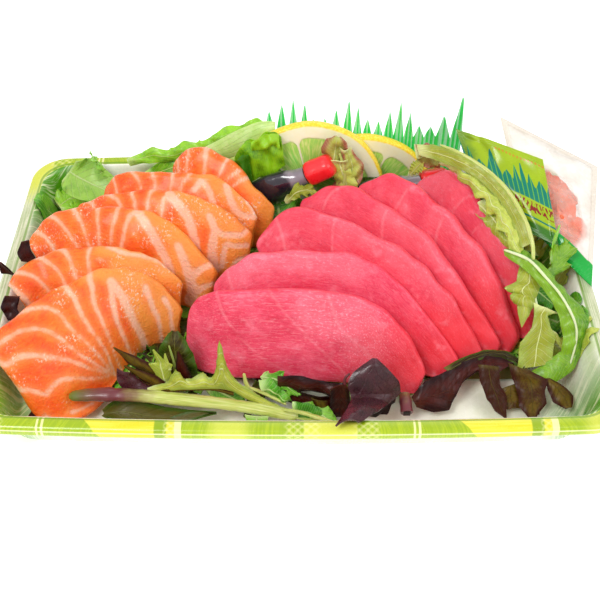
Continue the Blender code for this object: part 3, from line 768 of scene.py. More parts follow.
def tuna_look():
    """Pink-red flesh with a fine grain across it, pale veils, redder right ends, painted sheen and sparkle
    highlights, and painted light glowing red through its thin edges.
    """
    look = Look("tuna_flesh", coat=(0.2, 0.28), soft=(0.4, (1.0, 0.3, 0.25), 0.004), gloss=0.35)
    fibre = look.noise(1.0, 5, 0.65, flesh_coords(look, (3.2, 0.7, 1)), 1.2)
    cloud = look.noise(11.0, 3, 0.5)
    painted_sheen = span(look.noise(6.5, 3, 0.6), 0.56, 0.72)
    blotch = look.noise(4.0, 4, 0.6, flesh_coords(look, (2.0, 1.0, 1)))
    fine = look.noise(0.5, 3, 0.6)
    wet = look.noise(2.0, 3, 0.55)
    tone = cloud * 0.35 + (fibre * 0.35 + blotch * 0.3)
    base = look.ramp(tone, (0.32, "d81c40"), (0.47, "e83a5a"), (0.6, "f55a76"), (0.72, "fc8096"))
    # Paler pink bands: painted sheen.
    band = span(look.field("band") + (cloud - 0.5) * 6.0, -6.0, 1.5)
    painted_sparkle = span(look.noise(0.6, 3, 0.7, flesh_coords(look, (1.5, 1.0, 1))), 0.5, 0.78)
    veil = look.field("veil") * (band * 0.6 + 0.35)
    base = mix(band * 0.35, base, "fb8494")
    streaks = span(look.noise(1.0, 4, 0.6, flesh_coords(look, (7.0, 0.9, 1)), 2.0), 0.52, 0.68)
    base = mix(streaks * look.field("veil") * 0.3, base, "ffb6c2")
    deep = span(look.field("deep") + (cloud - 0.5) * 0.8, 0.0, 1.1, 0.0, 0.85)
    base = mix(deep, base, mix(blotch, "f01a2c", "fc4a54"))
    # Soft pale pink clouds: painted sheen of wet highlights.
    base = mix(painted_sheen * 0.3, base, "ff9cac")
    # Pale pink flecks over the veiled parts of the face: painted sparkle highlights.
    base = mix(painted_sparkle * veil, base, "ffb4c4")
    line = span(look.field("line") + (fine - 0.5) * 0.5, -0.7, 0.3)
    base = mix(line * 0.26, base, "ffb0b8")
    # Redder towards the thin cut edges: painted light shining through the thin flesh.
    base = mix(span(look.field("rim"), 0.95, 0.4, 0.0, 0.5), base, "f42c40")
    height = fibre * 0.7 + (fine * 0.3 + wet * 0.6)
    return look.dress(base, height, 0.35, 0.8, span(fine, 0.3, 0.7, 0.38, 0.56))


# ---------------------------------------------------------------- tray

FOAM_HALF = 0.38  # half the thickness of the tray's foam
TRAY_MARGIN = 0.4  # from the line down the foam's middle to the tray's size
# From the rim's outer edge inwards and down to the floor, as distances inwards and heights.
TRAY_PROFILE = (
    (0.15, TRAY_Z - SKIRT), (0.0, TRAY_Z - SKIRT + 0.4), (0.0, TRAY_Z - 1.2), (0.15, TRAY_Z - 0.5),
    (0.6, TRAY_Z - 0.08), (1.3, TRAY_Z + 0.12), (2.8, TRAY_Z + 0.16), (FLANGE - 2.0, TRAY_Z + 0.05),
    (FLANGE - 1.2, TRAY_Z - 0.2), (FLANGE - 0.4, TRAY_Z - 0.9), (FLANGE + 0.6, TRAY_Z - 3.0),
    (FLANGE + 2.6, 12.5), (FLANGE + 3.9, 7.0), (FLANGE + WALL_RUN - 0.2, 2.9),
    (FLANGE + WALL_RUN + 0.5, 1.4), (FLANGE + WALL_RUN + 1.4, 0.55), (FLANGE + WALL_RUN + FLOOR_BEND, 0.4),
)
PROFILE_STEPS, SIDE_STEPS, CORNER_STEPS = 64, 150, 16


def rounded_ring(half_x, half_y, radius):
    """Points round a rounded rectangle whose long sides bow outwards."""
    ring = []
    spots = np.linspace(-1, 1, SIDE_STEPS)[1:-1]
    straight_x, straight_y = half_x - radius, half_y - radius
    for quarter, (sx, sy) in enumerate(((1, 1), (-1, 1), (-1, -1), (1, -1))):
        for turn in np.radians(90 * quarter + np.linspace(0, 90, CORNER_STEPS)):
            x, y = radius * math.cos(turn), radius * math.sin(turn)
            ring.append((sx * straight_x + x, sy * straight_y + y))
        if sx == sy:
            ring += [(sy * -s * straight_x, sy * half_y) for s in spots]
        else:
            ring += [(sx * half_x, sx * s * straight_y) for s in spots[::2]]
    ring = np.array(ring)
    bow = TRAY_BOW * np.clip(1 - (ring[:, 0] / straight_x) ** 2, 0, None)
    ring[:, 1] += np.copysign(bow, ring[:, 1])
    return ring


def tray_piece():
    """The tray: its profile, as thick as the foam, run round its outline, with a flat floor."""
    line = spline(TRAY_PROFILE, np.linspace(0, 1, PROFILE_STEPS))
    way = unit(np.gradient(line, axis=0))
    outer = np.stack([way[:, 1], -way[:, 0]], axis=1)
    shell = np.concatenate([line - FOAM_HALF * outer, (line + FOAM_HALF * outer)[::-1]])
    place = travelled(line)
    place = np.concatenate([place, place[::-1]])
    half_x, half_y = TRAY_X / 2 - TRAY_MARGIN, TRAY_Y / 2 - TRAY_BOW - TRAY_MARGIN
    rings = []
    for inset, z in shell:
        ring = rounded_ring(half_x - inset, half_y - inset, CORNER_RADIUS - 0.4 * inset)
        rings.append(np.column_stack([ring, np.full(len(ring), z)]))
    rings = np.array(rings)
    count, sides = rings.shape[:2]
    round_way = travelled(rings[0])
    half = count // 2
    wall = np.delete(band_quads(count, sides, closed=True), half - 1, axis=0).reshape(-1, 4)
    caps = np.array([(half - 1) * sides + np.arange(sides), half * sides + np.arange(sides)[::-1]])
    piece = Piece("printed_tray", "tray_print", "tray")
    piece.add(rings, [wall, caps], TRAY_LOOK, run=np.tile(round_way, (count, 1)),
              cross=np.repeat(place[:, None], sides, axis=1))
    piece.make()


PRINT_START, PRINT_REPEAT, PRINT_SOFT = 83.0, 121.0, 0.15  # where a run starts, its length, soft edges


def tray_look():
    """Printed bamboo canes round the rim, pale cream inside with grass strokes in the corners.

    Repeat is the place along one run of the rim's print, and cross the way in from the rim's edge, in mm.
    """
    look = Look("tray_print", coat=(0.25, 0.12))
    x, y = (look.node("SeparateXYZ", {0: look.place()}, axis) for axis in "XY")
    cross = look.field("cross")

    def between(value, low, high, soft=0.3):
        """1 from low to high, with soft ends."""
        return span(value, low - soft, low + soft) * span(value, high + soft, high - soft)

    def close(value, place, half):
        """1 within half of a place."""
        return span(abs(value - place), half + PRINT_SOFT, half - PRINT_SOFT)

    repeat = ((x + PRINT_START) / PRINT_REPEAT).fraction() * PRINT_REPEAT
    slanted = repeat + cross * 0.9
    grain = look.noise(1.0, 3, 0.6, look.along("run", "cross", stretch=(0.7, 14, 1)))
    cane = look.noise(1.0, 3, 0.5, look.along("run", "cross", stretch=(14, 0.6, 1)))
    rim = mix(span(grain, 0.4, 0.65), "9cb810", "b2c81c")
    rim = mix(between(repeat, 47, 80) * span(abs(repeat - 62.0), 9, 3), rim, "cfd84c")
    rim = mix(between(slanted, 21, 44), rim, mix(span(cane, 0.4, 0.65), "e8dc24", "f0ea4c"))
    for low, high, tone in ((38, 42, "94b00c"), (42, 46, "e4da2c"), (86, 103, "d8dc4c")):
        rim = mix(between(repeat, low, high), rim, tone)
    for slope in (1.2, -1.2):
        lines = span(from_half((repeat + cross * slope) / 2.8), 0.3, 0.08)
        places = between(repeat, 80, 91, 1.0) + (between(repeat, 102, 110, 1.0) + between(repeat, 41, 46))
        rim = mix(lines * places * 0.32, rim, "f4f09a")
    for place, half in ((0.35, 0.35), (2.0, 0.4), (45.6, 1.1)):
        rim = mix(close(repeat, place, half) * 0.9, rim, "f6f2ac")
    # A pale line along the rim's rounded outer edge: a painted highlight.
    rim = mix(close(cross, 2.1, 0.2) * 0.7, rim, "fcfad0")
    ends = span(abs(x), 101.5, 104.5)
    side_rim = mix(span(cane, 0.42, 0.6), "b9c494", "dcdcbc")
    rim = mix(ends * span(y + cane * 24.0, 66, 50), rim, side_rim)
    # A dark green line at the flange's inner edge: painted shade where the rim turns down into the wall.
    rim = mix(close(cross, 6.6, 0.35) * 0.75, rim, "6d9a1c")
    corner = span(abs(x), 80, 99) * span(abs(y + 8.0), 22, 52)
    streak = look.noise(1.0, 4, 0.6, look.along("run", "cross", stretch=(1.1, 30, 1)))
    blades = look.noise(1.0, 3, 0.6, look.node("CombineXYZ", {0: x + y * -0.7, 1: y * 0.08}))
    patch = look.noise(26, 2, 0.5)
    inner = mix(span(patch, 0.35, 0.65), "fbfaee", "eff3d8")
    for value in (x, y):
        inner = mix(span(from_half(value / 2.6), 0.46, 0.5) * 0.5, inner, "fffff2")
    meadow = span(patch, 0.52, 0.72) * span(cross, 30, 8)
    inner = mix(meadow * 0.55, inner, "a5c95c")
    inner = mix(span(streak, 0.5, 0.62, 0, 0.45), inner, "f6f8e6")
    inner = mix(corner, inner, mix(span(blades, 0.48, 0.64), "57a008", "e6f2bc"))
    # Brighter lime in the front-left corner: the print's own lime, and painted light against the salmon's
    # shade there.
    lime = span(x, -88, -101) * span(y, -34, -50)
    inner = mix(lime * 0.8, inner, mix(span(blades, 0.45, 0.6), "a4dc10", "f6ff8c"))
    base = mix(span(cross, 7.0, 7.3), rim, inner)
    return look.dress(base, look.noise(6, 2), 0.15, 0.4, span(look.noise(3, 2), 0.3, 0.7, 0.2, 0.34))


# ---------------------------------------------------------------- leaves

LEAVES = {}  # each kind of leaf's material
LEAF_THICK, LEAF_GRAIN, TOOTH_EVERY = 0.35, 0.9, 2.2
LEAST_STEPS, MOST_STEPS = 14, 110


def leaf(piece, kind, spine, width, roll=0.0, cup=0.0, ruffle=0.0, pleats=6.0, lobes=0, depth=0.5, lean=0.0,
         thick=LEAF_THICK, steps=None, across=11, seed=0, tooth=0.0, keep=None, tone=0.0):
    """A leaf along a spine of points.

    Width is half its width in mm at even steps along it. Roll turns it about its spine, cup lifts its
    edges, and ruffle waves them. Lobes cut into its edges to a share of its width, leaning forward.
    Keep is a function that moves its points clear of what is around, and tone makes it lighter.
    """
    chance = np.random.default_rng(seed)
    way = spline(spine, np.linspace(0, 1, 30))
    length = step_lengths(way).sum()
    steps = steps or int(np.clip(length / LEAF_GRAIN, LEAST_STEPS, MOST_STEPS))
    u = np.linspace(0, 1, steps)
    q = np.sin(np.linspace(-1, 1, across) * math.pi / 2)
    middle = spline(spine, u)
    step = unit(spline(spine, np.clip(u + 0.03, 0, 1)) - spline(spine, np.clip(u - 0.03, 0, 1)))
    level = unit(np.stack([-step[:, 1], step[:, 0], 0 * u], axis=1))
    upright = np.cross(step, level)
    turn = np.radians(curve(roll, u))[:, None]
    side = level * np.cos(turn) + upright * np.sin(turn)
    normal = np.cross(step, side)
    wide = np.clip(curve(width, u), 0.15, None)
    face = np.zeros((steps, across, 3))
    phases = chance.uniform(0, 2 * math.pi, 4)
    for j, share in enumerate(q):
        hand = 1 if share > 0 else 0
        reach = wide
        if lobes:
            beat = u * lobes + 0.5 * hand + 0.15 * np.sin(phases[hand] + 5 * u)
            wave = np.abs(2 * (beat % 1) - 1)
            reach = reach * (1 - depth * smooth(wave, 0.1, 0.9) * smooth(u, 0.02, 0.15))
        if tooth:
            beat = u * length / TOOTH_EVERY + phases[hand]
            reach = reach * (1 - tooth * (beat % 1))
        lag = lean * abs(share) * reach[:, None] * step
        broad = np.sin(2 * math.pi * pleats * u + phases[2 + hand] + 2 * hand)
        fine = np.sin(2 * math.pi * pleats * 2.3 * u + phases[hand])
        lift = cup * share * share + ruffle * abs(share) ** 1.7 * broad
        lift = lift + ruffle * 0.5 * abs(share) ** 2 * fine
        face[:, j] = middle + (share * reach)[:, None] * side + lift[:, None] * normal + lag
    if keep is not None:
        face = keep(face)
    grid_u = np.repeat(u[:, None], across, axis=1)
    piece.sheet(face, thick, LEAVES[kind], along=grid_u, side=np.repeat(q[None], steps, axis=0),
                reach=grid_u * length, tone=np.full(grid_u.shape, tone))


def patch(piece, kind, left, right, bulge=0.0, curl=0.0, ruffle=0.0, thick=LEAF_THICK, seed=0, tone=0.0,
          across=11, fill=7, keep=None, sharp=0.55):
    """A leaf stretched between a left and a right edge, whose points may be pointed lobes.

    Bulge lifts its middle and curl its edges. Sharp is how straight its edges run from point to point, and
    fill is how many rows of faces lie between two points.
    """
    left, right = np.array(left, float), np.array(right, float)
    stations = len(left)
    u = np.linspace(0, stations - 1, (stations - 1) * fill + 1)
    edges = []
    for row in (left, right):
        straight = np.stack([np.interp(u, np.arange(stations), row[:, k]) for k in range(3)], axis=1)
        edges.append(sharp * straight + (1 - sharp) * spline(row, u / (stations - 1)))
    q = np.sin(np.linspace(-1, 1, across) * math.pi / 2)
    w = (q[None, :, None] + 1) / 2
    face = edges[0][:, None] * (1 - w) + edges[1][:, None] * w
    for _ in range(2):
        face[1:-1, 1:-1] = (face[:-2, 1:-1] + face[2:, 1:-1] + 2 * face[1:-1, 1:-1]) / 4
    normal = grid_normals(face)
    if normal[..., 2].mean() < 0:
        normal = -normal
    gap = np.linalg.norm(edges[1] - edges[0], axis=1)[:, None]
    lift = bulge * (1 - q[None] ** 2) + curl * q[None] ** 2
    lift = lift * np.minimum(gap / 6, 1) + ruffle * wobble(face, 5, seed) * np.minimum(gap / 4, 1)
    face = face + lift[..., None] * normal
    if keep is not None:
        face = keep(face)
    middle = (edges[0] + edges[1]) / 2
    reach = travelled(middle)
    rows = np.repeat(reach[:, None], across, axis=1)
    piece.sheet(face, thick, LEAVES[kind], along=rows / reach[-1], side=np.repeat(q[None], len(u), axis=0),
                reach=rows, tone=np.full(rows.shape, tone))


def leaf_look(kind, dark, light, rib, base, rib_width, veins=14.0, vein_share=0.4, blush=None,
              rough=0.38, coat=0.2, gloss=0.4):
    """Makes a kind of leaf's material: a midrib, veins that run forward from it, and a paler stem end.

    Base is the share of its length that the stem end pales. Blush is a colour along its edges.
    """
    look = Look("leaf_" + kind, coat=(coat, 0.25), gloss=gloss, soft=(0.12, (0.5, 1.0, 0.2), 0.002))
    side = abs(look.field("side"))
    along = look.field("along")
    cloud = look.noise(5.0, 3, 0.6)
    fine = look.noise(0.8, 3, 0.6)
    share = cloud * 0.7 + fine * 0.3 + look.field("tone")
    blade = mix(span(share, 0.3, 0.7), dark, light)
    if blush:
        blade = mix(span(side + cloud * 0.8, 0.75, 1.3), blade, blush)
    vein = span(from_half(along * veins + side * -2.2 + cloud * 0.7), 0.1, 0.02)
    blade = mix(vein * vein_share, blade, rib)
    middle = span(side + along * (rib_width * 0.6), rib_width * 1.5, rib_width * 0.8 - 0.01)
    blade = mix(middle, blade, rib)
    if base:
        blade = mix(span(along, base, 0.0, 0.0, 0.9), blade, rib)
    height = vein * -0.5 + (fine * 0.4 + middle * 0.7)
    LEAVES[kind] = look.dress(blade, height, 0.4, 0.7, span(fine, 0.3, 0.7, rough - 0.08, rough + 0.12))


# ---------------------------------------------------------------- heights of the frame's solids

MAP_X, MAP_Y = 118.0, 76.0  # half the size of a map, which has a point every millimetre
ABOVE_FLOOR, BELOW_FISH = 0.35, 0.5  # how clear of the tray and the fish a leaf's middle stays
MAP_REACH, MAP_TOP = 120, 60.0  # how far the rays go, and the height that those going down start at


def node_tree_of(*names):
    """One tree of the faces of these frame nodes, in millimetres."""
    points, faces = [], []
    for name in names:
        mesh = NODES[name].data
        start = len(points)
        points += [v.co / MM for v in mesh.vertices]
        faces += [tuple(start + i for i in f.vertices) for f in mesh.polygons]
    return BVHTree.FromPolygons(points, faces)


def height_map(tree, start, way, missing):
    """Heights where upright rays from a start height first hit, going up (1) or down (-1)."""
    xs, ys = np.arange(-MAP_X, MAP_X + 1), np.arange(-MAP_Y, MAP_Y + 1)
    heights = np.full((len(xs), len(ys)), missing)
    for i, x in enumerate(xs):
        for j, y in enumerate(ys):
            hit = tree.ray_cast(Vector((x, y, start)), Vector((0, 0, way)), MAP_REACH)[0]
            if hit is not None:
                heights[i, j] = hit.z
    return heights


def read_map(heights, x, y):
    """A map's value between its points."""
    a = np.clip(x + MAP_X, 0, heights.shape[0] - 1.001)
    b = np.clip(y + MAP_Y, 0, heights.shape[1] - 1.001)
    i, j = a.astype(int), b.astype(int)
    a, b = a - i, b - j
    low = heights[i, j] * (1 - a) + heights[i + 1, j] * a
    return low * (1 - b) + (heights[i, j + 1] * (1 - a) + heights[i + 1, j + 1] * a) * b


def lowest_near(heights):
    """A map whose points take the lowest height among themselves and their neighbours."""
    found = heights
    for dx in (-1, 0, 1):
        for dy in (-1, 0, 1):
            found = np.minimum(found, np.roll(heights, (dx, dy), (0, 1)))
    return found


def kept_between(face):
    """Leaf points held above the tray and below whatever lies on the salad."""
    x, y = face[..., 0], face[..., 1]
    low, high = read_map(FLOOR, x, y) + ABOVE_FLOOR, read_map(CEILING, x, y) - BELOW_FISH
    face[..., 2] = np.maximum(np.minimum(face[..., 2], high), np.minimum(low, high))
    return face


def above_floor(face):
    """Leaf points held above the tray."""
    face[..., 2] = np.maximum(face[..., 2], read_map(FLOOR, face[..., 0], face[..., 1]) + ABOVE_FLOOR)
    return face


# ---------------------------------------------------------------- salad

CORE_X, CORE_FRONT, CORE_BACK, CORE_LOW, CORE_THIN = 84, -33, 50, 1.2, 1.6
CORE_SUNK, CORE_CLEAR = 3.0, 1.5  # how far the core lies below the heap's top and the fish
HEAP_X, HEAP_FRONT, HEAP_BACK, HEAP_LOW = 101, -63, 64, 2.5  # where loose leaves may lie
LOOSE_LENGTH, LOOSE_WIDTH, LOOSE_TILT, LOOSE_LIFT = (18, 32), (4, 8), 20, 1.5


def salad_core(look):
    """A dark lumpy middle that closes the heap below the leaves: its dark olive is painted shade in the
    gaps between them.
    """
    xs, ys = np.linspace(-CORE_X, CORE_X, 90), np.linspace(CORE_FRONT, CORE_BACK, 50)
    x, y = np.meshgrid(xs, ys, indexing="ij")
    middle, reach = (CORE_FRONT + CORE_BACK) / 2, (CORE_BACK - CORE_FRONT) / 2
    edge = np.maximum(np.abs(x) / CORE_X, np.abs(y - middle) / reach)
    top = read_map(BED, x, y) - CORE_SUNK + 1.2 * wobble(np.stack([x, y], -1), 9, 5)
    top = np.clip(top * (1 - 0.6 * smooth(edge, 0.8, 1.0)), CORE_THIN, read_map(CEILING, x, y) - CORE_CLEAR)
    piece = Piece("salad_core", "green_leaf", "salad_bed")
    low = np.full(x.shape, CORE_LOW)
    piece.slab(np.stack([x, y, np.maximum(top, CORE_THIN)], -1), np.stack([x, y, low], -1), look)
    piece.make()


def scattered(piece, kinds, zone, count, seed):
    """Loose leaves over a zone of the heap (left, right, front, back), each laid along its surface."""
    chance = np.random.default_rng(seed)
    left, right, front, back = zone
    for _ in range(count):
        kind = kinds[int(chance.integers(len(kinds)))]
        x, y = chance.uniform(left, right), chance.uniform(front, back)
        turn = chance.uniform(0, 2 * math.pi)
        size, wide = chance.uniform(*LOOSE_LENGTH), chance.uniform(*LOOSE_WIDTH)
        bend = chance.normal(0, 0.5)
        share = np.linspace(-0.5, 0.5, 5)
        way = turn + bend * share
        px = np.clip(x + size * share * np.cos(way), -HEAP_X, HEAP_X)
        py = np.clip(y + size * share * np.sin(way), HEAP_FRONT, HEAP_BACK)
        hump = chance.uniform(0, 3) * (1 - 4 * share**2)
        z = np.maximum(read_map(BED, px, py), HEAP_LOW) + LOOSE_LIFT + hump + chance.normal(0, 1.2) * share
        shape = dict(LEAF_KINDS[kind])
        width, ruffle = shape.pop("width"), shape.pop("ruffle")
        leaf(piece, kind, np.stack([px, py, z], 1), [wide * w for w in width],
             roll=chance.normal(0, LOOSE_TILT), cup=chance.uniform(-1, 2.5), ruffle=ruffle * wide / 7,
             seed=int(chance.integers(1 << 30)), keep=kept_between, steps=26, across=7,
             tone=chance.uniform(-0.15, 0.15), **shape)


# The loose leaves. Width is at even steps along a leaf, as a share of its half width.
LEAF_KINDS = {
    "green": dict(width=(.25, .6, .95, 1, .75, .3), ruffle=1.6, pleats=4, lean=.1, tooth=.12),
    "mizuna": dict(width=(.15, .2, .6, .8, .6, .1), ruffle=.8, pleats=3, lobes=4, depth=.75, lean=.7),
    "pale": dict(width=(.3, .4, .7, .9, .7, .15), ruffle=1.6, pleats=4, lobes=5, depth=.6, lean=.4),
    "olive": dict(width=(.2, .5, .9, 1, .8, .25), ruffle=.9, pleats=2.5, lobes=2, depth=.35, lean=.3),
    "purple": dict(width=(.25, .6, 1, 1, .8, .3), ruffle=1.8, pleats=3, lean=.1, tooth=.08),
}


def leaf_looks():
    """The materials of all the kinds of leaf."""
    leaf_look("green", "3c8a0e", "86ca32", "c2e184", 0.2, 0.09)
    leaf_look("mizuna", "4c9c14", "93d23e", "cbe892", 0.3, 0.1, veins=8)
    leaf_look("lettuce", "4a970c", "9bd62e", "cfe686", 0.1, 0.04, veins=11, vein_share=0.25)
    leaf_look("ruffled", "327c00", "96d012", "bce450", 0.0, 0.0, veins=26, vein_share=0.35)
    leaf_look("rib", "b4d66c", "d2e798", "e3f0bc", 0.0, 0.0, veins=1, vein_share=0.0)
    leaf_look("round", "68a028", "a0cc52", "c0dc88", 0.12, 0.05, veins=7, vein_share=0.3)
    leaf_look("pale", "9cab2c", "c8d45a", "dfe89c", 0.2, 0.08, veins=9, vein_share=0.35)
    leaf_look("frisee", "a59a4a", "bcc858", "dfe89c", 0.1, 0.04, veins=9, vein_share=0.3, blush="a8604a")
    leaf_look("endive", "9aa022", "ccd356", "e0e698", 0.12, 0.05, veins=9, vein_share=0.35,
              blush="98a838")
    leaf_look("olive", "2c2008", "5a5218", "6f6a30", 0.1, 0.05, veins=8, blush="3f5a10", coat=0.05,
              gloss=0.2)
    leaf_look("brown", "3c1a06", "685212", "56461a", 0.1, 0.04, veins=7, vein_share=0.12,
              blush="3c160a", coat=0.03, gloss=0.15)
    leaf_look("purple", "2c0a12", "4a1e26", "582c38", 0.05, 0.02, veins=5, vein_share=0.15,
              rough=0.28)
    leaf_look("maroon", "1c0304", "461008", "4c1e10", 0.1, 0.03, veins=7, vein_share=0.2,
              blush="240306", rough=0.36, coat=0.05, gloss=0.2)
    leaf_look("rocket", "468208", "84b21a", "d4eaa0", 0.0, 0.0, veins=9, vein_share=0.25)


def stalk_look():
    """A fibrous pale stalk, purple where tint is high and green or white by the green field."""
    look = Look("leaf_stalk", Roughness=0.35, coat=(0.3, 0.2), soft=(0.2, (0.6, 1.0, 0.3), 0.002))
    fibre = look.noise(1.0, 3, 0.5, look.along("reach", "around", stretch=(9, 0.5, 1)))
    base = look.ramp(fibre, (0.3, "a9b648"), (0.5, "c8cf6c"), (0.7, "dfe29a"))
    base = mix(span(look.field("tint") + look.noise(5, 3) * 0.5, 0.55, 1.1), base, "702c34")
    base = mix(span(look.field("green"), -0.1, -0.5), base, mix(fibre, "d2e6a0", "eef4cc"))
    base = mix(span(look.field("green"), 0.2, 1.0), base, "5f8f22")
    return look.dress(base, fibre, 0.3, 0.6)


STALK_STEPS, STALK_SIDES = 60, 14


def stalk(piece, spine, radius, flat=0.6, tint=0.0, green=0.0, hollow=False):
    """A leaf's stalk along a spine; tint is its purple share and green its green share along it.

    A hollow one keeps its width to its cut ends."""
    u = np.linspace(0, 1, STALK_STEPS)
    path = spline(spine, u)
    length = step_lengths(path).sum()
    wide = np.clip(curve(radius, u), 0.1, None)
    around = np.repeat(np.abs(np.linspace(-1, 1, STALK_SIDES))[None], STALK_STEPS, axis=0) * 6
    wide = wide * (1 + 0.05 * wobble(path, 4, 11))
    ends = np.clip(np.minimum(u, 1 - u) * length / np.maximum(wide, 0.1), 0, 1)
    if not hollow:
        wide = wide * np.sqrt(1 - (1 - np.maximum(ends, 0.15)) ** 2)
    piece.tube(path, wide, STALK, STALK_SIDES, flat, reach=(u * length)[:, None], around=around,
               tint=curve(tint, u)[:, None], green=curve(green, u)[:, None])


def lettuce_behind():
    """Lettuce behind the salmon: a broad pale rib with ruffled blades above it and before the lemon."""
    piece = Piece("lettuce_behind", "green_leaf", "lettuce_back")
    patch(piece, "rib",
        ((-44, 60, 31), (-33, 60, 37.5), (-23, 59.5, 44), (-14, 59, 48.5), (-8, 58.5, 48.5)),
        ((-37, 57, 30), (-25, 55.5, 34.5), (-19, 55, 38.5), (-13, 55.5, 43), (-8, 56, 46)), bulge=1.2,
        thick=1.2, seed=1)
    patch(piece, "lettuce",
        ((-69.5, 62, 28), (-63.7, 62, 31), (-58.5, 62, 34), (-52, 62, 32.5), (-45.3, 62, 36.5),
         (-38.8, 62, 36.5), (-33.7, 62, 39.6), (-28, 62, 44), (-22, 61.5, 45), (-16.5, 61, 49),
         (-12.6, 61, 47)),
        ((-68, 60, 26), (-63, 60, 27.5), (-58, 60, 28), (-52.3, 60, 28.5), (-45.8, 60, 29),
         (-39.8, 60, 31.5), (-34, 60, 35), (-28, 60, 38), (-22.3, 60, 41), (-17.4, 60, 44),
         (-13.4, 60, 45)), bulge=1.2, ruffle=1.1, seed=4, across=17, fill=9, tone=0.1, sharp=0.15)
    leaf(piece, "lettuce", ((-62, 58, 22), (-48, 59, 27), (-36, 59, 30), (-27, 57, 31)), (2, 5, 5, 3),
        roll=55, ruffle=1.2, pleats=3.3, across=15, seed=6, steps=90, tone=-0.05)
    piece.make()


def lettuce_ruffle():
    """Ruffled lettuce that stands behind the last slice of salmon."""
    piece = Piece("lettuce_ruffle", "green_leaf", "salad_bed")
    patch(piece, "ruffled",
        ((-24, 47.3, 39.5), (-21.7, 48.3, 44), (-18.5, 49, 46.6), (-15, 49.3, 48), (-11.4, 49.6, 50),
         (-8.3, 49.6, 50.4), (-5.6, 49.2, 49)),
        ((-23.3, 46.5, 33), (-20.7, 46.3, 28), (-17.8, 46.3, 29), (-15, 46.3, 30.5), (-11.4, 46.3, 32),
         (-7.8, 46.3, 34), (-4, 46.3, 37)), bulge=0.6, ruffle=0.9, seed=15, across=25, fill=10, tone=0.08,
        sharp=0.2)
    patch(piece, "ruffled", ((-23.5, 45.8, 40), (-21, 46, 42), (-18.5, 46.3, 42.5)),
        ((-23, 45, 31), (-20.5, 45, 27), (-17, 45, 29)), bulge=0.8, ruffle=1.0, seed=16, across=19, fill=14,
        tone=-0.45)
    patch(piece, "ruffled", ((-17, 47.8, 47.5), (-13.5, 48, 49.3), (-10, 48.2, 50.6), (-6.5, 48, 50)),
        ((-17, 46.8, 43.5), (-13.5, 46.8, 44), (-10, 47, 45), (-6, 47, 45)), bulge=0.8, ruffle=1.0, seed=17,
        across=15, fill=12, tone=0.3)
    piece.make()


def lettuce_corner():
    """A smooth round leaf and a curly tip over the back left corner."""
    piece = Piece("lettuce_corner", "green_leaf", "lettuce_left")
    leaf(piece, "round", ((-93, 58, 25), (-90, 57, 23), (-83, 55, 20), (-75, 52, 18)), (5, 8.5, 8, 5.5),
        roll=(45, 35, 30), cup=2, ruffle=0.7, pleats=2, across=17, seed=3, steps=50, tone=0.1)
    leaf(piece, "mizuna", ((-76, 57, 19), (-80, 59.5, 25), (-84, 61, 32)), (1.5, 2.6, 3.6, 1.2), roll=30,
        ruffle=1.0, pleats=4, lobes=4, depth=0.6, lean=0.5, across=11, seed=12, tone=0.4)
    leaf(piece, "lettuce", ((-98, 50, 13), (-93, 55, 13), (-84, 52, 11)), (3, 6, 5, 2), roll=20, ruffle=1.6,
        pleats=4, across=13, seed=14, tone=0.3)
    piece.make()


def endive_over_front():
    """Endive before the salmon: a rounded stalk with a toothed blade arching over it."""
    piece = Piece("endive_over_front", "pale_leaf", "endive_front")
    stalk(piece,
        ((-77, -50, 12.5), (-66, -50.5, 14), (-54, -50.5, 13.5), (-40, -50.5, 11.5), (-24, -51, 9.5),
         (-10, -52.5, 8), (1, -54, 6.5)), (1.9, 2.6, 2.4, 2.5, 2.3, 2.4, 2.1), 0.75,
        (0.95, 0.95, 0.65, 0.15, 0, 0, 0), (0.7, 0.3, 0.2, 0.1, 0, 0, 0))
    patch(piece, "endive",
        ((-54, -48, 12.5), (-48, -47, 14.4), (-43, -46.6, 16), (-40.3, -45.6, 21.6), (-38.3, -46.4, 17),
         (-35, -46.4, 17.4), (-31.2, -45.6, 19.8), (-29.8, -46.4, 18), (-27.2, -46.6, 18.6),
         (-25.6, -45.6, 26), (-24.8, -44.8, 35), (-23.8, -45.8, 25.5), (-21.4, -47, 18.6), (-17, -48, 14.8),
         (-9, -50, 9.8), (1, -53, 6.4)),
        ((-52, -49, 11.3), (-46, -48, 13), (-41, -48, 13.8), (-38, -48, 14.1), (-36, -48, 14.2),
         (-33, -48, 14.4), (-30.5, -48, 14.6), (-29, -48, 14.6), (-27, -48, 14.5), (-25.4, -48, 14.3),
         (-24.4, -48, 14.1), (-23.4, -48, 13.9), (-20.6, -48.3, 13.2), (-16, -49.5, 10.6), (-8, -51.5, 7),
         (1, -53.5, 4.8)), bulge=0.8, thick=0.9, seed=21, ruffle=0.25, across=13, fill=5, sharp=0.9)
    patch(piece, "brown",
        ((-50, -49, 12.2), (-44, -48.2, 14), (-36, -48, 14.8), (-28, -48, 14.9), (-21, -48.5, 13)),
        ((-50, -49, 11.6), (-44, -48.4, 12.8), (-36, -48.4, 13.6), (-28, -48.4, 13.7), (-21, -49, 11.6)),
        thick=0.5, across=7, tone=0.2)
    piece.make()


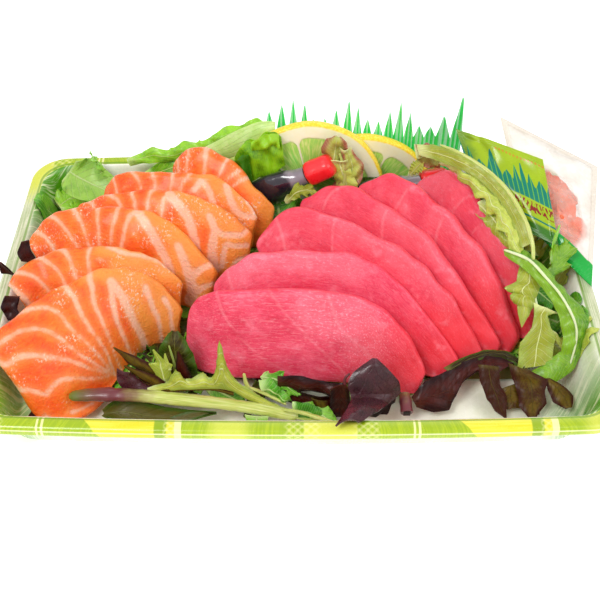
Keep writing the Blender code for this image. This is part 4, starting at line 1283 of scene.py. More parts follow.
def leaves_between():
    """Olive, brown and green tips that stand between the two fans of fish."""
    piece = Piece("leaves_between", "purple_leaf", "salad_bed")
    patch(piece, "brown", ((-46, -44, 10), (-52, -43, 16), (-57, -42, 21), (-61, -41.5, 28)),
        ((-40, -44, 12), (-44, -43, 18), (-51, -42, 21.5), (-60.5, -41.5, 28)), bulge=1.0, ruffle=0.4,
        seed=22, tone=0.1, thick=0.6)
    patch(piece, "brown", ((-48, -46, 11), (-53, -45, 16), (-58, -44, 21.5)),
        ((-42, -46, 13), (-48, -45, 18), (-57.5, -44, 21.5)), bulge=0.8, ruffle=0.4, seed=23, tone=0.15,
        thick=0.6)
    patch(piece, "pale",
        ((-48, -45, 13), (-47.5, -44.5, 18), (-49.5, -44, 22.5), (-46.5, -44, 23), (-47.5, -43.5, 29)),
        ((-41, -45, 14), (-42.5, -44.5, 19), (-41.5, -44, 22), (-44, -44, 24), (-47, -43.5, 29)), bulge=0.6,
        seed=24, thick=0.5, tone=-0.1, sharp=1.0)
    patch(piece, "pale", ((-45, -44.5, 20), (-43.8, -43.5, 27)), ((-42, -44.5, 20), (-43.4, -43.5, 27)),
        bulge=0.3, thick=0.5, across=7)
    patch(piece, "olive", ((-47, -40, 11), (-48, -38, 17), (-46, -36, 24), (-42, -34, 28)),
        ((-34, -41, 10), (-34, -39, 16), (-36, -37, 22), (-40, -34, 28)), bulge=1.6, ruffle=0.9, seed=31,
        tone=0.0)
    patch(piece, "maroon", ((-42, -44, 11), (-41, -43.5, 18), (-39.5, -42.5, 27)),
        ((-34, -44, 11), (-36, -43.5, 17), (-39, -42.5, 27)), bulge=0.9, ruffle=0.4, seed=25, tone=0.3)
    leaf(piece, "brown", ((-54, -45, 8), (-47, -44, 12), (-40, -43, 14)), (2.5, 4.5, 1.5), roll=20, lobes=2,
        depth=0.3, lean=0.6, seed=33, tone=0.3)
    stalk(piece, ((-43, -38, 25), (-41.5, -41, 18), (-42, -43.5, 11)), (0.3, 0.5, 0.5), 0.8, 0, 0.6)
    patch(piece, "purple", ((-60, -46, 22.5), (-60.5, -47, 17.5), (-58.5, -48, 13)),
        ((-56, -45, 19), (-51.5, -46, 14), (-46.5, -47.5, 12.5)), bulge=0.8, ruffle=0.5, seed=26, thick=0.5,
        tone=0.25)
    piece.make()


def olive_on_floor():
    """The long olive leaf lying on the floor before the endive."""
    piece = Piece("olive_on_floor", "purple_leaf", "olive_leaf")
    leaf(piece, "olive",
        ((-66, -52, 5.5), (-58, -52.5, 7), (-50, -53.5, 6), (-40, -53.5, 6), (-27, -52.5, 6)),
        (1.0, 4.4, 4.4, 3.4, 2.0, 0.3), roll=30, cup=1.5, ruffle=0.6, pleats=2, across=15, seed=41,
        keep=above_floor, tone=0.35)
    leaf(piece, "olive", ((-46, -56, 4.5), (-41, -55, 5.5), (-35, -53.5, 6.5), (-29, -52.5, 7)),
        (0.6, 1.6, 1.5, 0.3), roll=25, seed=42, keep=above_floor, tone=0.8)
    piece.make()


def greens_front():
    """Greens and stems under the front of the tuna."""
    piece = Piece("greens_front", "green_leaf", "salad_bed")
    patch(piece, "mizuna", ((-12.5, -45.3, 15), (-8.5, -45.5, 16.5), (-5.5, -46, 13), (-2, -47, 10)),
        ((-10, -46.5, 10), (-8, -47, 8.5), (-4.5, -47.5, 6.5), (-1, -48, 6.5)), bulge=1.4, ruffle=0.7,
        seed=51, tone=-0.1)
    patch(piece, "green", ((-1, -50.5, 10), (4, -51.5, 11), (9, -52.5, 8)),
        ((0, -53, 5), (5, -54, 4), (10, -54, 3)), bulge=0.8, ruffle=0.5, seed=56, tone=-0.1)
    leaf(piece, "mizuna", ((-12, -43.5, 15), (-6, -45, 15), (1, -47.5, 10)), (2, 3.6, 0.8), roll=50,
        lobes=3, depth=0.5, lean=0.8, ruffle=0.8, across=11, seed=52, tone=-0.1)
    patch(piece, "mizuna", ((-17, -56, 10), (-16, -57, 6), (-13, -58, 4)),
        ((-9, -56, 9), (-10, -57, 6), (-12, -58, 4)), bulge=0.5, seed=53, tone=0.25)
    leaf(piece, "green", ((-30, -43, 9), (-24, -46, 8), (-18, -48, 6)), (2, 4, 1.5), roll=15, ruffle=1.2,
        seed=54)
    leaf(piece, "mizuna", ((2, -51, 7), (8, -53, 7), (14, -57, 5)), (2, 4.0, 1.5), roll=30, ruffle=1.0,
        seed=55, tone=0.1)
    stalk(piece, ((-17.5, -44.5, 18), (-16.5, -46, 13.5), (-13, -48, 9)), (0.5, 0.8, 0.6), 0.8)
    stalk(piece, ((-17, -46, 13), (-10, -47.5, 10.5), (-3, -50, 8)), (0.5, 0.7, 0.5), 0.8)
    stalk(piece, ((-4, -53, 9), (2, -57, 12.5), (8, -62, 16), (13.5, -67, 20)), (0.6, 0.8, 0.8, 0.4), 0.7,
        0, 0.3)
    stalk(piece, ((0, -55, 7), (5, -59, 11), (11, -63, 15)), (0.4, 0.6, 0.4), 0.7, 0, 0.5)
    stalk(piece, ((38, -46, 8.2), (38.2, -49.5, 8), (38.4, -53, 7.1)), (2.0, 2.1, 2.2), 0.95,
        (0.7, 0.8, 1.0), 0, hollow=True)
    # A thin dark sheet across the hollow stalk's open end: painted shade inside the hollow.
    patch(piece, "maroon", ((37.2, -53.2, 5.9), (37.2, -53.5, 8.3)),
        ((39.6, -53.2, 5.9), (39.6, -53.5, 8.3)), thick=0.2, across=7, tone=-0.6)
    piece.make()


def purple_fold():
    """The glossy purple leaf folded over the front rim, with darker curls beside it."""
    piece = Piece("purple_fold", "purple_leaf", "purple_leaf")
    patch(piece, "purple",
        ((26, -46.5, 28), (19.5, -50, 25), (17.5, -53, 22.5), (18.5, -55, 19.5), (18.5, -58, 19.5),
         (16.5, -65, 23), (13, -72.2, 25)),
        ((27, -46.5, 28), (31.5, -48.4, 24), (35, -49.5, 19.5), (35.5, -50.8, 15), (31.5, -55, 15),
         (27.5, -62.5, 20.5), (20.5, -70.5, 24.6)), bulge=1.8, curl=0.0, ruffle=0.12, seed=61, thick=0.6,
        across=17, fill=9)
    patch(piece, "maroon", ((22, -47, 14), (21, -49, 8), (20, -51, 3)),
        ((35, -47, 13), (34.5, -48.5, 8), (32, -50, 3)), bulge=1.5, ruffle=0.8, seed=62, tone=-0.4)
    patch(piece, "maroon", ((12, -50, 16), (12, -51, 9), (13, -52, 3)),
        ((18, -51, 18), (19, -52, 9), (18, -53, 3)), bulge=-1.6, ruffle=0.4, seed=63, tone=0.1)
    patch(piece, "maroon", ((-6, -45, 18), (3, -45, 17), (12, -46.5, 15), (17, -48, 17)),
        ((-6, -46, 12), (3, -46.5, 11), (12, -48, 11), (17, -49, 13)), bulge=1.2, ruffle=0.5, seed=64,
        tone=0.1)
    patch(piece, "maroon", ((-6, -46.5, 12), (3, -47.5, 11), (10, -49, 11), (15, -50, 12)),
        ((-4, -47.5, 7), (4, -49, 5.5), (10, -51, 4.5), (15, -52, 5)), bulge=-1.0, ruffle=0.5, seed=65,
        tone=0.25)
    patch(piece, "brown", ((5.5, -50, 11.5), (8, -51, 6), (11, -53, 2.5)),
        ((11, -50, 10), (12.5, -51.5, 5), (13.5, -53, 2.5)), bulge=0.8, seed=66, tone=0.5)
    stalk(piece, ((18.5, -47, 21), (16.8, -48, 18.5), (18, -50, 14)), (0.35, 0.5, 0.5), 1, 1.0)
    piece.make()


def red_lettuce():
    """Red lettuce under the right end of the tuna, its lobes hanging to the floor."""
    piece = Piece("red_lettuce", "purple_leaf", "red_leaf")
    patch(piece, "maroon",
        ((40.5, -47, 8), (45, -43, 12), (52, -39, 12), (59, -35, 13), (66, -32, 12.5), (73, -32.5, 12.5),
         (77, -35, 12)),
        ((42, -49.5, 6), (48, -50.3, 4.2), (53.5, -49.5, 4.2), (55.5, -46, 6), (58.5, -41, 9),
         (64, -37, 10.5), (69, -39, 9.5)), bulge=0.9, ruffle=0.4, seed=71, across=15, thick=0.6,
        keep=above_floor, tone=0.1, sharp=0.8)
    patch(piece, "brown",
        ((64.5, -35.5, 12), (65, -41, 9), (67, -46, 6), (69.3, -50.5, 5), (72.5, -53.4, 4.4)),
        ((71.5, -36.5, 12), (71.8, -42, 8.5), (73.8, -45.5, 6.5), (73.2, -49.5, 5), (72.9, -53.4, 4.4)),
        bulge=0.8, ruffle=0.35, seed=72, tone=-0.25, thick=0.5, keep=above_floor, sharp=0.9)
    patch(piece, "brown", ((72, -42, 6.5), (71.5, -45, 4.5), (73.5, -48.7, 3.6)),
        ((79, -40, 8), (79.5, -44, 5), (79.5, -48.2, 3.6)), bulge=0.6, ruffle=0.3, seed=73, tone=0.05,
        thick=0.5, keep=above_floor)
    patch(piece, "brown",
        ((75, -35.5, 13), (76.4, -40, 9.4), (78.3, -45, 6), (77.9, -48.5, 5), (80.2, -52, 4.4),
         (81.2, -56, 4)),
        ((81, -38, 12.5), (88.4, -40.5, 9.8), (87, -44.5, 7.4), (87.4, -48, 6), (84, -51.5, 4.6),
         (81.8, -56, 4)), bulge=1.0, ruffle=0.4, seed=74, tone=0.0, thick=0.5, keep=above_floor, sharp=0.9)
    patch(piece, "brown", ((87.5, -40, 10), (88.6, -43.5, 7.5), (90, -47, 5.5), (94, -49.7, 5)),
        ((89, -40, 10), (94.5, -42.5, 8), (97.2, -45, 6.5), (96.2, -49, 5)), bulge=0.8, ruffle=0.3, seed=75,
        tone=0.15, thick=0.5, keep=above_floor)
    patch(piece, "olive",
        ((52, -37.5, 12.5), (60, -32.5, 13), (68, -29.5, 13), (76, -30, 12.5), (82, -34, 11)),
        ((54, -39, 11), (61, -35, 11.5), (68.5, -32, 12), (75, -33, 11.5), (80, -37, 10)), bulge=1.2,
        ruffle=0.8, seed=76, tone=-0.25, keep=above_floor)
    piece.make()


def endive_arch():
    """The large endive leaf that arches over the right of the tuna."""
    piece = Piece("endive_arch", "pale_leaf", "endive_right")
    patch(piece, "endive",
        ((47, 46, 47), (53, 43, 49), (58, 38.5, 50.5), (63, 34, 50.5), (71, 27, 48.5), (78, 17.5, 46),
         (82.5, 7, 42), (84.5, -1, 38)),
        ((48, 43, 44.5), (54, 38, 45.5), (59.5, 33.5, 46.5), (64, 29, 47), (70.5, 23.5, 45.5),
         (76, 14.5, 43), (79.6, 6, 39.5), (81.5, -1.5, 36.5)), bulge=0.6, curl=0.4, thick=0.9, ruffle=0.3,
        seed=81, across=13, tone=-0.15)
    stalk(piece,
        ((55, 42, 50), (62, 35, 51), (71, 27.5, 49), (78, 18, 46.5), (82.8, 7, 42.5), (84.8, -1, 38.5),
         (85, -6, 35)), (0.5, 0.8, 0.9, 0.9, 0.9, 0.8, 0.6), 0.8, 0, 0)
    patch(piece, "pale",
        ((55, 39, 44), (60, 35, 43), (63.5, 28, 42.5), (65.5, 26, 43.5), (67, 20.5, 41.5), (70.5, 19, 43),
         (70, 13.5, 40), (73.5, 12, 41), (73, 7, 38), (76.5, 4.5, 38.5), (77, -1, 35.5), (80.5, -4, 34)),
        ((56, 37.5, 46), (60, 33.5, 46.5), (64, 29, 46.8), (67, 26.5, 46.3), (70, 24, 45.4),
         (72.5, 20.5, 44.5), (74.5, 17, 43.7), (76, 14.5, 43), (77.6, 10.5, 41.6), (79.6, 6, 39.5),
         (80.6, 2, 38), (81.5, -2, 36.5)), bulge=1.0, ruffle=0.7, seed=82, across=11, fill=5, thick=0.5,
        tone=0.05, sharp=1.0)
    patch(piece, "pale", ((66, 20, 36), (69, 14, 36), (73, 9, 34), (78, 2, 32)),
        ((71, 22, 39), (76, 15, 38), (80, 8, 36), (83, 1, 33)), bulge=1.5, ruffle=1.2, seed=83, tone=-0.1)
    piece.make()


def endive_toothed():
    """Yellow-green toothed tips beside the tuna."""
    piece = Piece("endive_toothed", "pale_leaf", "endive_tips")
    patch(piece, "endive",
        ((81.5, -3.5, 32), (79.4, -8.8, 31), (78.8, -12.1, 29.6), (73.6, -15.1, 29.7), (78.1, -15.2, 27.8),
         (75.6, -17.3, 28.2), (78.7, -17.6, 25.5), (78.8, -21.2, 23), (80.1, -25, 20.1)),
        ((86, -3, 32), (87.8, -8.6, 30), (87.9, -11.5, 28), (86.2, -14.4, 26.8), (85.3, -16.2, 25.2),
         (84.5, -18.3, 24), (83.8, -19.5, 23), (82.5, -21.2, 22), (80.2, -25, 20.1)), bulge=0.9, curl=0.5,
        ruffle=0.4, seed=91, thick=0.6, across=11, fill=6, tone=-0.1, sharp=1.0)
    patch(piece, "endive",
        ((84.5, -17.8, 24.7), (84.6, -22.6, 22.5), (83.4, -25.8, 20), (79.4, -29.1, 16.5),
         (78.7, -32.8, 13.5), (78.3, -36, 10.2)),
        ((93, -21.2, 23), (89, -22.2, 23), (90.1, -25.4, 20.5), (92, -27.7, 18), (91.3, -29.6, 15.5),
         (90.2, -34.8, 11.5)), bulge=0.9, curl=0.6, ruffle=0.4, seed=92, thick=0.6, across=13, tone=-0.38,
        fill=6, sharp=1.0)
    patch(piece, "endive",
        ((89.5, -25.2, 20.4), (92.5, -29.3, 17), (94.6, -32.2, 14.8), (97.2, -34.6, 12.4)),
        ((92.3, -26.9, 18.9), (94.6, -29.7, 16.8), (95.8, -31.8, 15), (97.4, -34.4, 12.6)), bulge=0.4,
        seed=93, thick=0.6, across=7, tone=-0.1, sharp=1.0)
    patch(piece, "frisee", ((82, -31.8, 14.2), (84, -34.3, 12)), ((90.5, -31, 14.8), (88.5, -34.7, 11.8)),
        bulge=0.5, seed=94, thick=0.5, across=7, tone=-0.4)
    stalk(piece, ((84, -3, 32), (85.2, -10, 28.9), (85.5, -16, 25.6), (87, -22, 22.4)),
        (0.4, 0.6, 0.6, 0.3), 0.7, 0, -0.5)
    stalk(piece, ((87, -21, 22.9), (87.2, -25, 20.6), (86, -30, 15.8)), (0.4, 0.5, 0.2), 0.7, 0, -0.5)
    piece.make()


def rocket_arch():
    """Rocket on the right: a pale curved rib with a broad smooth blade on both sides."""
    piece = Piece("rocket_arch", "green_leaf", "rocket_leaf")
    rib = (
        (75, -1.5, 35.5), (81, -5, 35.5), (84.5, -7.6, 34.6), (88.5, -12.7, 32.6), (93, -17.7, 29.6),
        (96.4, -23.6, 26.3), (98.3, -28, 22.6), (98.2, -31.5, 18), (96.5, -36, 12.5),
    )
    patch(piece, "rocket",
        ((77, -0.5, 35), (82, -1.5, 35.3), (87.5, -6, 33.7), (93.7, -13, 30.3), (100, -20, 26.2),
         (103.5, -24, 22.6), (103, -28, 19.5), (101, -32, 16), (98, -37, 11.5)), rib, bulge=0.4, ruffle=0.5,
        seed=101, thick=0.5, across=9)
    patch(piece, "rocket", rib,
        ((75.3, -2.6, 34), (80.4, -7.5, 33.3), (84, -11, 32), (87.7, -15.5, 30), (91, -20, 27),
         (93.4, -24.5, 23), (94.2, -29, 19.5), (93.7, -33.5, 15), (94.5, -37, 11)), bulge=0.4, ruffle=0.5,
        seed=102, thick=0.5, across=9, tone=0.3)
    patch(piece, "rocket", ((99, -32, 16.5), (94, -32, 15.5), (88, -35, 12), (82, -37, 8.5)),
        ((97.5, -37, 11), (94, -39, 9), (88.5, -41, 7), (82, -37.4, 8.2)), bulge=1.0, ruffle=0.4, seed=103,
        thick=0.5, tone=0.1)
    stalk(piece, tuple((x, y - 0.3, z + 0.5) for x, y, z in rib),
        (0.5, 0.65, 0.6, 0.55, 0.5, 0.5, 0.45, 0.4, 0.3), 0.8, 0, -0.5)
    leaf(piece, "green", ((100, -24, 20.5), (104, -21, 20.5), (108, -19, 21.5)), (1.5, 3.4, 2.6, 0.8),
        roll=15, ruffle=0.8, lobes=2, depth=0.4, lean=0.8, across=11, seed=104, tone=0.1)
    leaf(piece, "rocket", ((91, -8, 27), (94, -4, 29), (97, 0, 32), (99, 4, 35)), (1.5, 4.6, 4.2, 1.2),
        roll=25, ruffle=1.0, lobes=2, depth=0.5, lean=0.9, across=13, seed=105, tone=0.05)
    leaf(piece, "mizuna", ((93, -2, 29), (94, 3, 34), (95.5, 6, 41)), (1.0, 1.3, 0.4), roll=70, across=7,
        seed=106, tone=0.2)
    leaf(piece, "green", ((80, -3, 22), (88, -6, 20), (95, -10, 16)), (3, 6, 3), roll=0, ruffle=1.4,
        seed=107, tone=-0.15, across=11)
    piece.make()


def frisee_middle():
    """Pale curly leaves before the lemon and behind the tuna."""
    piece = Piece("frisee_middle", "pale_leaf", "salad_bed")
    patch(piece, "frisee", ((10, 45.8, 42), (10, 45.8, 45.5), (12, 45.8, 50), (15.5, 46, 50.5)),
        ((20, 44.5, 40), (20.5, 44.8, 45), (19.5, 45.2, 49.5), (17, 46, 50.8)), bulge=1.2, ruffle=1.4,
        seed=111, across=15, fill=8)
    patch(piece, "pale", ((13, 42, 43), (14.5, 41, 38), (16, 40, 32), (17, 38, 27)),
        ((20, 42.5, 43), (21.5, 41.5, 38), (24, 40.5, 33), (24, 38, 27)), bulge=1.0, ruffle=1.0, seed=112,
        across=13, tone=0.15)
    patch(piece, "frisee",
        ((17, 44.5, 47), (18.5, 44, 43), (18, 43, 38.5), (16.5, 41.8, 34), (14, 40.5, 30)),
        ((21.5, 44.6, 46.5), (23.4, 44, 43.2), (26.5, 43, 39.5), (26.2, 41.8, 34.4), (22.5, 40.8, 29.5)),
        bulge=1.0, ruffle=1.3, seed=113, across=15, fill=8, tone=0.15, sharp=0.8)
    leaf(piece, "pale", ((45, 44, 34), (47.5, 45, 37), (49.5, 45.5, 39.5)), (1.2, 2.6, 0.8), roll=70,
        ruffle=1.0, across=11, seed=114, tone=0.1)
    patch(piece, "frisee", ((46, 47.5, 45.5), (51, 47.5, 46.5), (57, 47.5, 44)),
        ((48, 45.5, 37.5), (52.7, 45.5, 36.5), (56.8, 45.5, 36)), bulge=0.8, ruffle=1.2, seed=116,
        across=13, fill=10, tone=-0.1, sharp=0.4)
    leaf(piece, "pale", ((-4, 35, 27), (0, 36.5, 31), (5, 37, 32), (9, 36, 30)), (1.2, 3.4, 2.4, 0.6),
        roll=60, ruffle=1.2, lobes=3, depth=0.5, lean=0.6, across=11, seed=115, tone=-0.1)
    stalk(piece, ((19, 39, 30), (19, 41, 38), (17, 43.5, 45)), (0.8, 0.8, 0.5), 0.8)
    piece.make()


def purple_tips_left():
    """Purple tips that show past the left ends of the salmon."""
    piece = Piece("purple_tips_left", "purple_leaf", "salad_bed")
    patch(piece, "maroon", ((-99, 2, 36.5), (-100.8, 0, 33), (-99.8, -1, 29.5)),
        ((-96.5, 3, 36.5), (-96, 1, 33), (-94, 0, 28.5)), bulge=0.8, ruffle=0.5, seed=121, thick=0.6,
        across=9)
    patch(piece, "maroon", ((-107.5, -4, 32), (-107.3, -4, 26.5)), ((-106, -4, 31.5), (-102.8, -3, 24)),
        bulge=0.5, ruffle=0.3, seed=122, thick=0.6, across=9, sharp=0.9)
    patch(piece, "maroon", ((-102, -19, 30), (-103.5, -22, 27), (-101.5, -24, 22.5)),
        ((-97, -19, 29.5), (-98, -22, 26), (-95, -25, 22.5)), bulge=-1.2, ruffle=0.5, seed=123, thick=0.6,
        across=11)
    leaf(piece, "maroon", ((-92, -52, 4.5), (-88, -54, 5), (-84, -58, 4.5)), (2, 3.5, 1), roll=10, across=9,
        seed=124, thick=0.6, keep=above_floor)
    piece.make()


NAMED_LEAVES = (
    lettuce_behind, lettuce_ruffle, lettuce_corner, endive_over_front, leaves_between,
    olive_on_floor, greens_front, purple_fold, red_lettuce, endive_arch,
    endive_toothed, rocket_arch, frisee_middle, purple_tips_left,
)

# Each piece's rows: kinds, zone, how many and seed.
LOOSE = {
    "salad_left": (
        (("olive", "green", "mizuna"), (-92, -40, -40, -20), 12, 1),
        (("green", "mizuna", "green"), (-94, -50, 10, 55), 22, 2),
        (("green", "purple"), (-92, -84, -30, 20), 7, 3)),
    "salad_right": (
        (("green", "mizuna", "olive"), (30, 80, -34, 10), 14, 4),
        (("mizuna", "green", "pale"), (80, 98, -28, 30), 14, 5),
        (("green", "mizuna", "green"), (-40, 60, 20, 58), 34, 6)),
    "salad_under": (
        (("olive", "mizuna", "purple"), (-38, 42, -40, -24), 16, 7),
        (("green", "mizuna", "pale"), (55, 96, 25, 58), 16, 8),
        (("olive", "green"), (-56, -34, -38, 0), 10, 9)),
}


def loose_salad():
    """The leaves that make up the heap's surface."""
    for name, rows in LOOSE.items():
        piece = Piece(name, "green_leaf", "salad_bed")
        for row in rows:
            scattered(piece, *row)
        piece.make()


# ---------------------------------------------------------------- lemon slices

LEMON_RADIUS, LEMON_THICK, LEMON_CUT = 29.5, 4.5, 12.0  # the last in degrees above the middle
SEGMENTS, RIND_ROUND, LEMON_EDGE = 10, 0.9, 0.06  # the last is half the least thickness


def lemon_look():
    """Segments of green-yellow pulp in pale skin, inside a white pith and a pored yellow rind.

    Off is the way from a segment's middle to its side, from 0 to 1.
    """
    look = Look("lemon", coat=(0.3, 0.15), soft=(0.15, (1.0, 0.9, 0.4), 0.003))
    flat = look.along("px", "py")
    radius = look.node("VectorMath", {0: flat}, 1, operation="LENGTH") / LEMON_RADIUS
    cloud = look.noise(2.5, 3, 0.6)
    radius = radius + (cloud - 0.5) * 0.02
    angle = look.field("py").math("ARCTAN2", look.field("px"))
    turn = (angle * (SEGMENTS / (2 * math.pi)) + 0.12).fraction()
    off = abs(turn * 2.0 - 1.0)
    end = radius + off ** 7.0 * 0.15
    flesh = span(end, 0.82, 0.785) * span(off, 0.96, 0.91) * span(radius, 0.08, 0.12)
    pulp = look.noise(1.0, 3, 0.6, look.node("CombineXYZ", {0: angle * 22.0, 1: radius * 5.0}))
    inside = look.ramp(pulp, (0.3, "84d85c"), (0.5, "b4e668"), (0.7, "e2f29a"))
    base = mix(flesh, mix(cloud, "fbf5c0", "fffde2"), inside)
    speckled = mix(span(look.noise(0.9, 2, 0.5), 0.4, 0.62), "ffd410", "ffe84a")
    base = mix(span(radius, 0.945, 0.97), base, speckled)
    pores = look.cells(1.1) * span(radius, 0.95, 0.98)
    height = flesh * -0.5 + (pores * -0.4 + pulp * 0.3)
    return look.dress(base, height, 0.5, 0.8, span(flesh, 0, 1, 0.45, 0.2))


def lemon(number, centre, lean):
    """Half a slice of lemon: everything above a chord, with a rounded rind."""
    radius, cut, turn = LEMON_RADIUS, math.radians(LEMON_CUT), math.radians(lean)
    chord, reach = radius * math.sin(cut), radius * math.cos(cut) - 0.15
    x = reach * np.sin(np.linspace(-1, 1, 90) * math.pi / 2)
    top = np.sqrt(radius**2 - x**2)
    t = eased(1.0, 0.045, 0.026)
    px = np.repeat(x[:, None], len(t), axis=1)
    py = chord + (top - chord)[:, None] * t[None]
    bump_out = 1 + 0.004 * np.sin(9 * np.arctan2(py, px)) * smooth(np.hypot(px, py), 20, 29)
    gap_top, gap_end = (radius - np.hypot(px, py)), (reach - np.abs(px)) * 0.4 + 0.05
    half = LEMON_THICK / 2 * edge_round(np.clip(gap_top, 0, None), gap_end, RIND_ROUND)
    half = np.maximum(half * edge_round(py - chord, py * 0 + 9, 0.3), LEMON_EDGE)
    right, up = np.array([1, 0, 0]), np.array([0, math.cos(turn), math.sin(turn)])
    out = np.cross(right, up)
    bend = 0.9 * (px / radius) ** 2 + 0.3 * np.sin(py / 7 + number)
    flat = np.array(centre) + (px * bump_out)[..., None] * right + (py * bump_out)[..., None] * up
    flat = flat - (bend - 0.45)[..., None] * out * 0.6
    piece = Piece(f"lemon_half_{number}", "lemon", f"lemon_slice_{number}")
    piece.pillow(flat + half[..., None] * out, flat - half[..., None] * out, LEMON, px=px, py=py)
    piece.make()


# ---------------------------------------------------------------- soy sauce bottles

BOTTLE_LENGTH, BOTTLE_RINGS, BOTTLE_SIDES = 41, 84, 40
BOTTLE_PLACES = (0, 4, 8, 15, 23, 30, 34, 37, 41)
BOTTLE_TALL = (3.8, 4.1, 6.2, 7.4, 6.8, 4.6, 2.4, 4.0, 6.0)
BOTTLE_DEEP = (3.8, 4.0, 4.1, 4.2, 4.0, 3.2, 2.0, 1.8, 1.2)
# The cap from its mouth to its end, as distances along it and radii.
CAP_PROFILE = (
    (0.0, 2.6), (0.05, 3.8), (0.4, 4.6), (1.2, 5.1), (2.6, 5.32), (5.5, 5.3), (8.2, 5.15), (9.8, 4.7),
    (10.8, 3.9), (11.35, 2.7), (11.5, 1.1),
)
CAP_GAP, CAP_FACETS, CAP_RIBS = 0.35, 6, 24


def bottle_look():
    """Dark sauce seen through a thin clear wall, with pressed scales and a ribbed tail."""
    look = Look("soy_bottle", coat=(0.8, 0.06), gloss=0.6)
    place = look.field("reach")
    cloud = look.noise(4, 3, 0.5)
    sauce = span(place + cloud * 4.0, 7.5, 10.0)
    base = mix(sauce, mix(cloud, "a69ba3", "6a5f69"), mix(cloud, "17121b", "342a38"))
    base = mix(span(place, 33.5, 36.0), base, "8f868e")
    scales = look.cells(2.2, look.along("reach", "around"))
    scales = scales * (span(place, 9, 13) * span(place, 33, 29))
    ribs = (look.field("around") * 5.0).math("SINE") * span(place, 34, 37)
    return look.dress(base, scales * 0.6 + ribs * 0.5, 0.3, 0.5, span(cloud, 0.3, 0.7, 0.12, 0.25))


def cap_look():
    """Bright red moulded plastic."""
    look = Look("red_cap", coat=(0.4, 0.15), soft=(0.2, (1.0, 0.2, 0.15), 0.003))
    cloud = look.noise(4, 2, 0.5)
    base = mix(cloud, "f5141e", "ff3038")
    return look.dress(base, look.noise(0.6, 3, 0.6), 0.12, 0.5, span(cloud, 0.3, 0.7, 0.25, 0.4))


def bottle(number, neck, tail):
    """A fish-shaped bottle from its neck to its tail, and its cap on the neck."""
    neck, tail = np.array(neck, float), np.array(tail, float)
    way = unit(tail - neck)
    level = unit(np.cross(way, (0, 0, 1)))
    upright = np.cross(level, way)
    place = np.linspace(0, BOTTLE_LENGTH, BOTTLE_RINGS)
    turns = np.linspace(0, 2 * math.pi, BOTTLE_SIDES, endpoint=False)
    cos, sin = np.cos(turns), np.sin(turns)
    shrink = np.sqrt(np.clip(1 - (1 - np.clip((BOTTLE_LENGTH + 0.01 - place) / 1.2, 0, 1)) ** 2, 0.02, 1))
    tall = evened(np.interp(place, BOTTLE_PLACES, BOTTLE_TALL)) * shrink
    deep = evened(np.interp(place, BOTTLE_PLACES, BOTTLE_DEEP)) * shrink
    fork = np.clip((place - 37) / 4, 0, 1)[:, None] * (1 - np.abs(cos))[None] * 2.2
    seam = 0.94 - 0.05 * (np.abs(sin) > 0.97)
    middle = neck + (place[:, None] - fork)[..., None] * way
    rings = middle + tall[:, None, None] * (cos * seam)[None, :, None] * upright
    rings = rings + deep[:, None, None] * (sin * 0.96)[None, :, None] * level
    piece = Piece(f"sauce_bottle_{number}", "soy_bottle", f"soy_bottle_{number}")
    piece.rings(rings, BOTTLE, reach=np.repeat(place[:, None], BOTTLE_SIDES, axis=1),
                around=np.repeat((cos * 6)[None], BOTTLE_RINGS, axis=0))
    piece.make()
    run, wide = spline(CAP_PROFILE, np.linspace(0, 1, 60)).T
    facets = 1 - 0.035 * (1 - np.cos(CAP_FACETS * turns)) - 0.012 * (1 - np.cos(CAP_RIBS * turns))
    dent = 1 - 0.05 * np.exp(-((run - 6) / 3) ** 2)
    out = cos[None, :, None] * upright + sin[None, :, None] * level
    rings = neck - CAP_GAP * way - run[:, None, None] * way
    rings = rings + (wide * dent)[:, None, None] * facets[None, :, None] * out
    piece = Piece(f"sauce_cap_{number}", "red_cap", f"soy_cap_{number}")
    piece.rings(rings, CAP)
    piece.make()


# ---------------------------------------------------------------- grass divider

DIVIDER_Y, DIVIDER_FOOT, DIVIDER_LEFT, DIVIDER_RIGHT = 62.8, 19.0, -12.8, 67.0
# Each blade's tip from left to right, as x and height.
BLADE_TIPS = (
    (-10.6, 51.5), (-5.5, 55), (-1, 57), (3.6, 55.5), (7, 47.5), (11.6, 48), (16, 52.5), (21, 57.3),
    (24.7, 53), (28.6, 48), (33, 46.5), (37.4, 51.5), (41.5, 55.7), (45.4, 51), (49.4, 44.5), (54, 43.7),
    (59, 49.5), (65.6, 60.5),
)
BLADE_ROOT, BLADE_FALL, DIVIDER_END = 40.5, 0.14, 38.0  # where blades part, and the drop to the next
PLEATS, BLADE_STEPS, DIVIDER_ROWS, GRASS_THICK = 2.5, 8, 22, 0.25


def grass_look():
    """Green film, with painted light and shade in stripes across its pleats, and paler towards its tips."""
    look = Look("grass_film", Roughness=0.28, coat=(0.3, 0.1), soft=(0.15, (0.3, 1.0, 0.4), 0.002))
    stripe = look.field("stripe")
    cloud = look.noise(6, 2, 0.5)
    # Dark and pale green across each pleat: painted light and shade of the pleat's two facets.
    base = mix(span(stripe, 0.35, 0.65), "3ce468", "b8ffca")
    base = mix(span(look.field("rise"), 0.5, 1.0, 0.0, 0.35), base, "c4f8d0")
    base = mix(span(cloud, 0.35, 0.7, 0, 0.15), base, "10a83a")
    grain = look.noise(1.0, 2, 0.5, look.along("fold", "rise", stretch=(0.4, 1, 1)))
    return look.dress(base, grain, 0.1, 0.4, span(cloud, 0.3, 0.7, 0.2, 0.35))


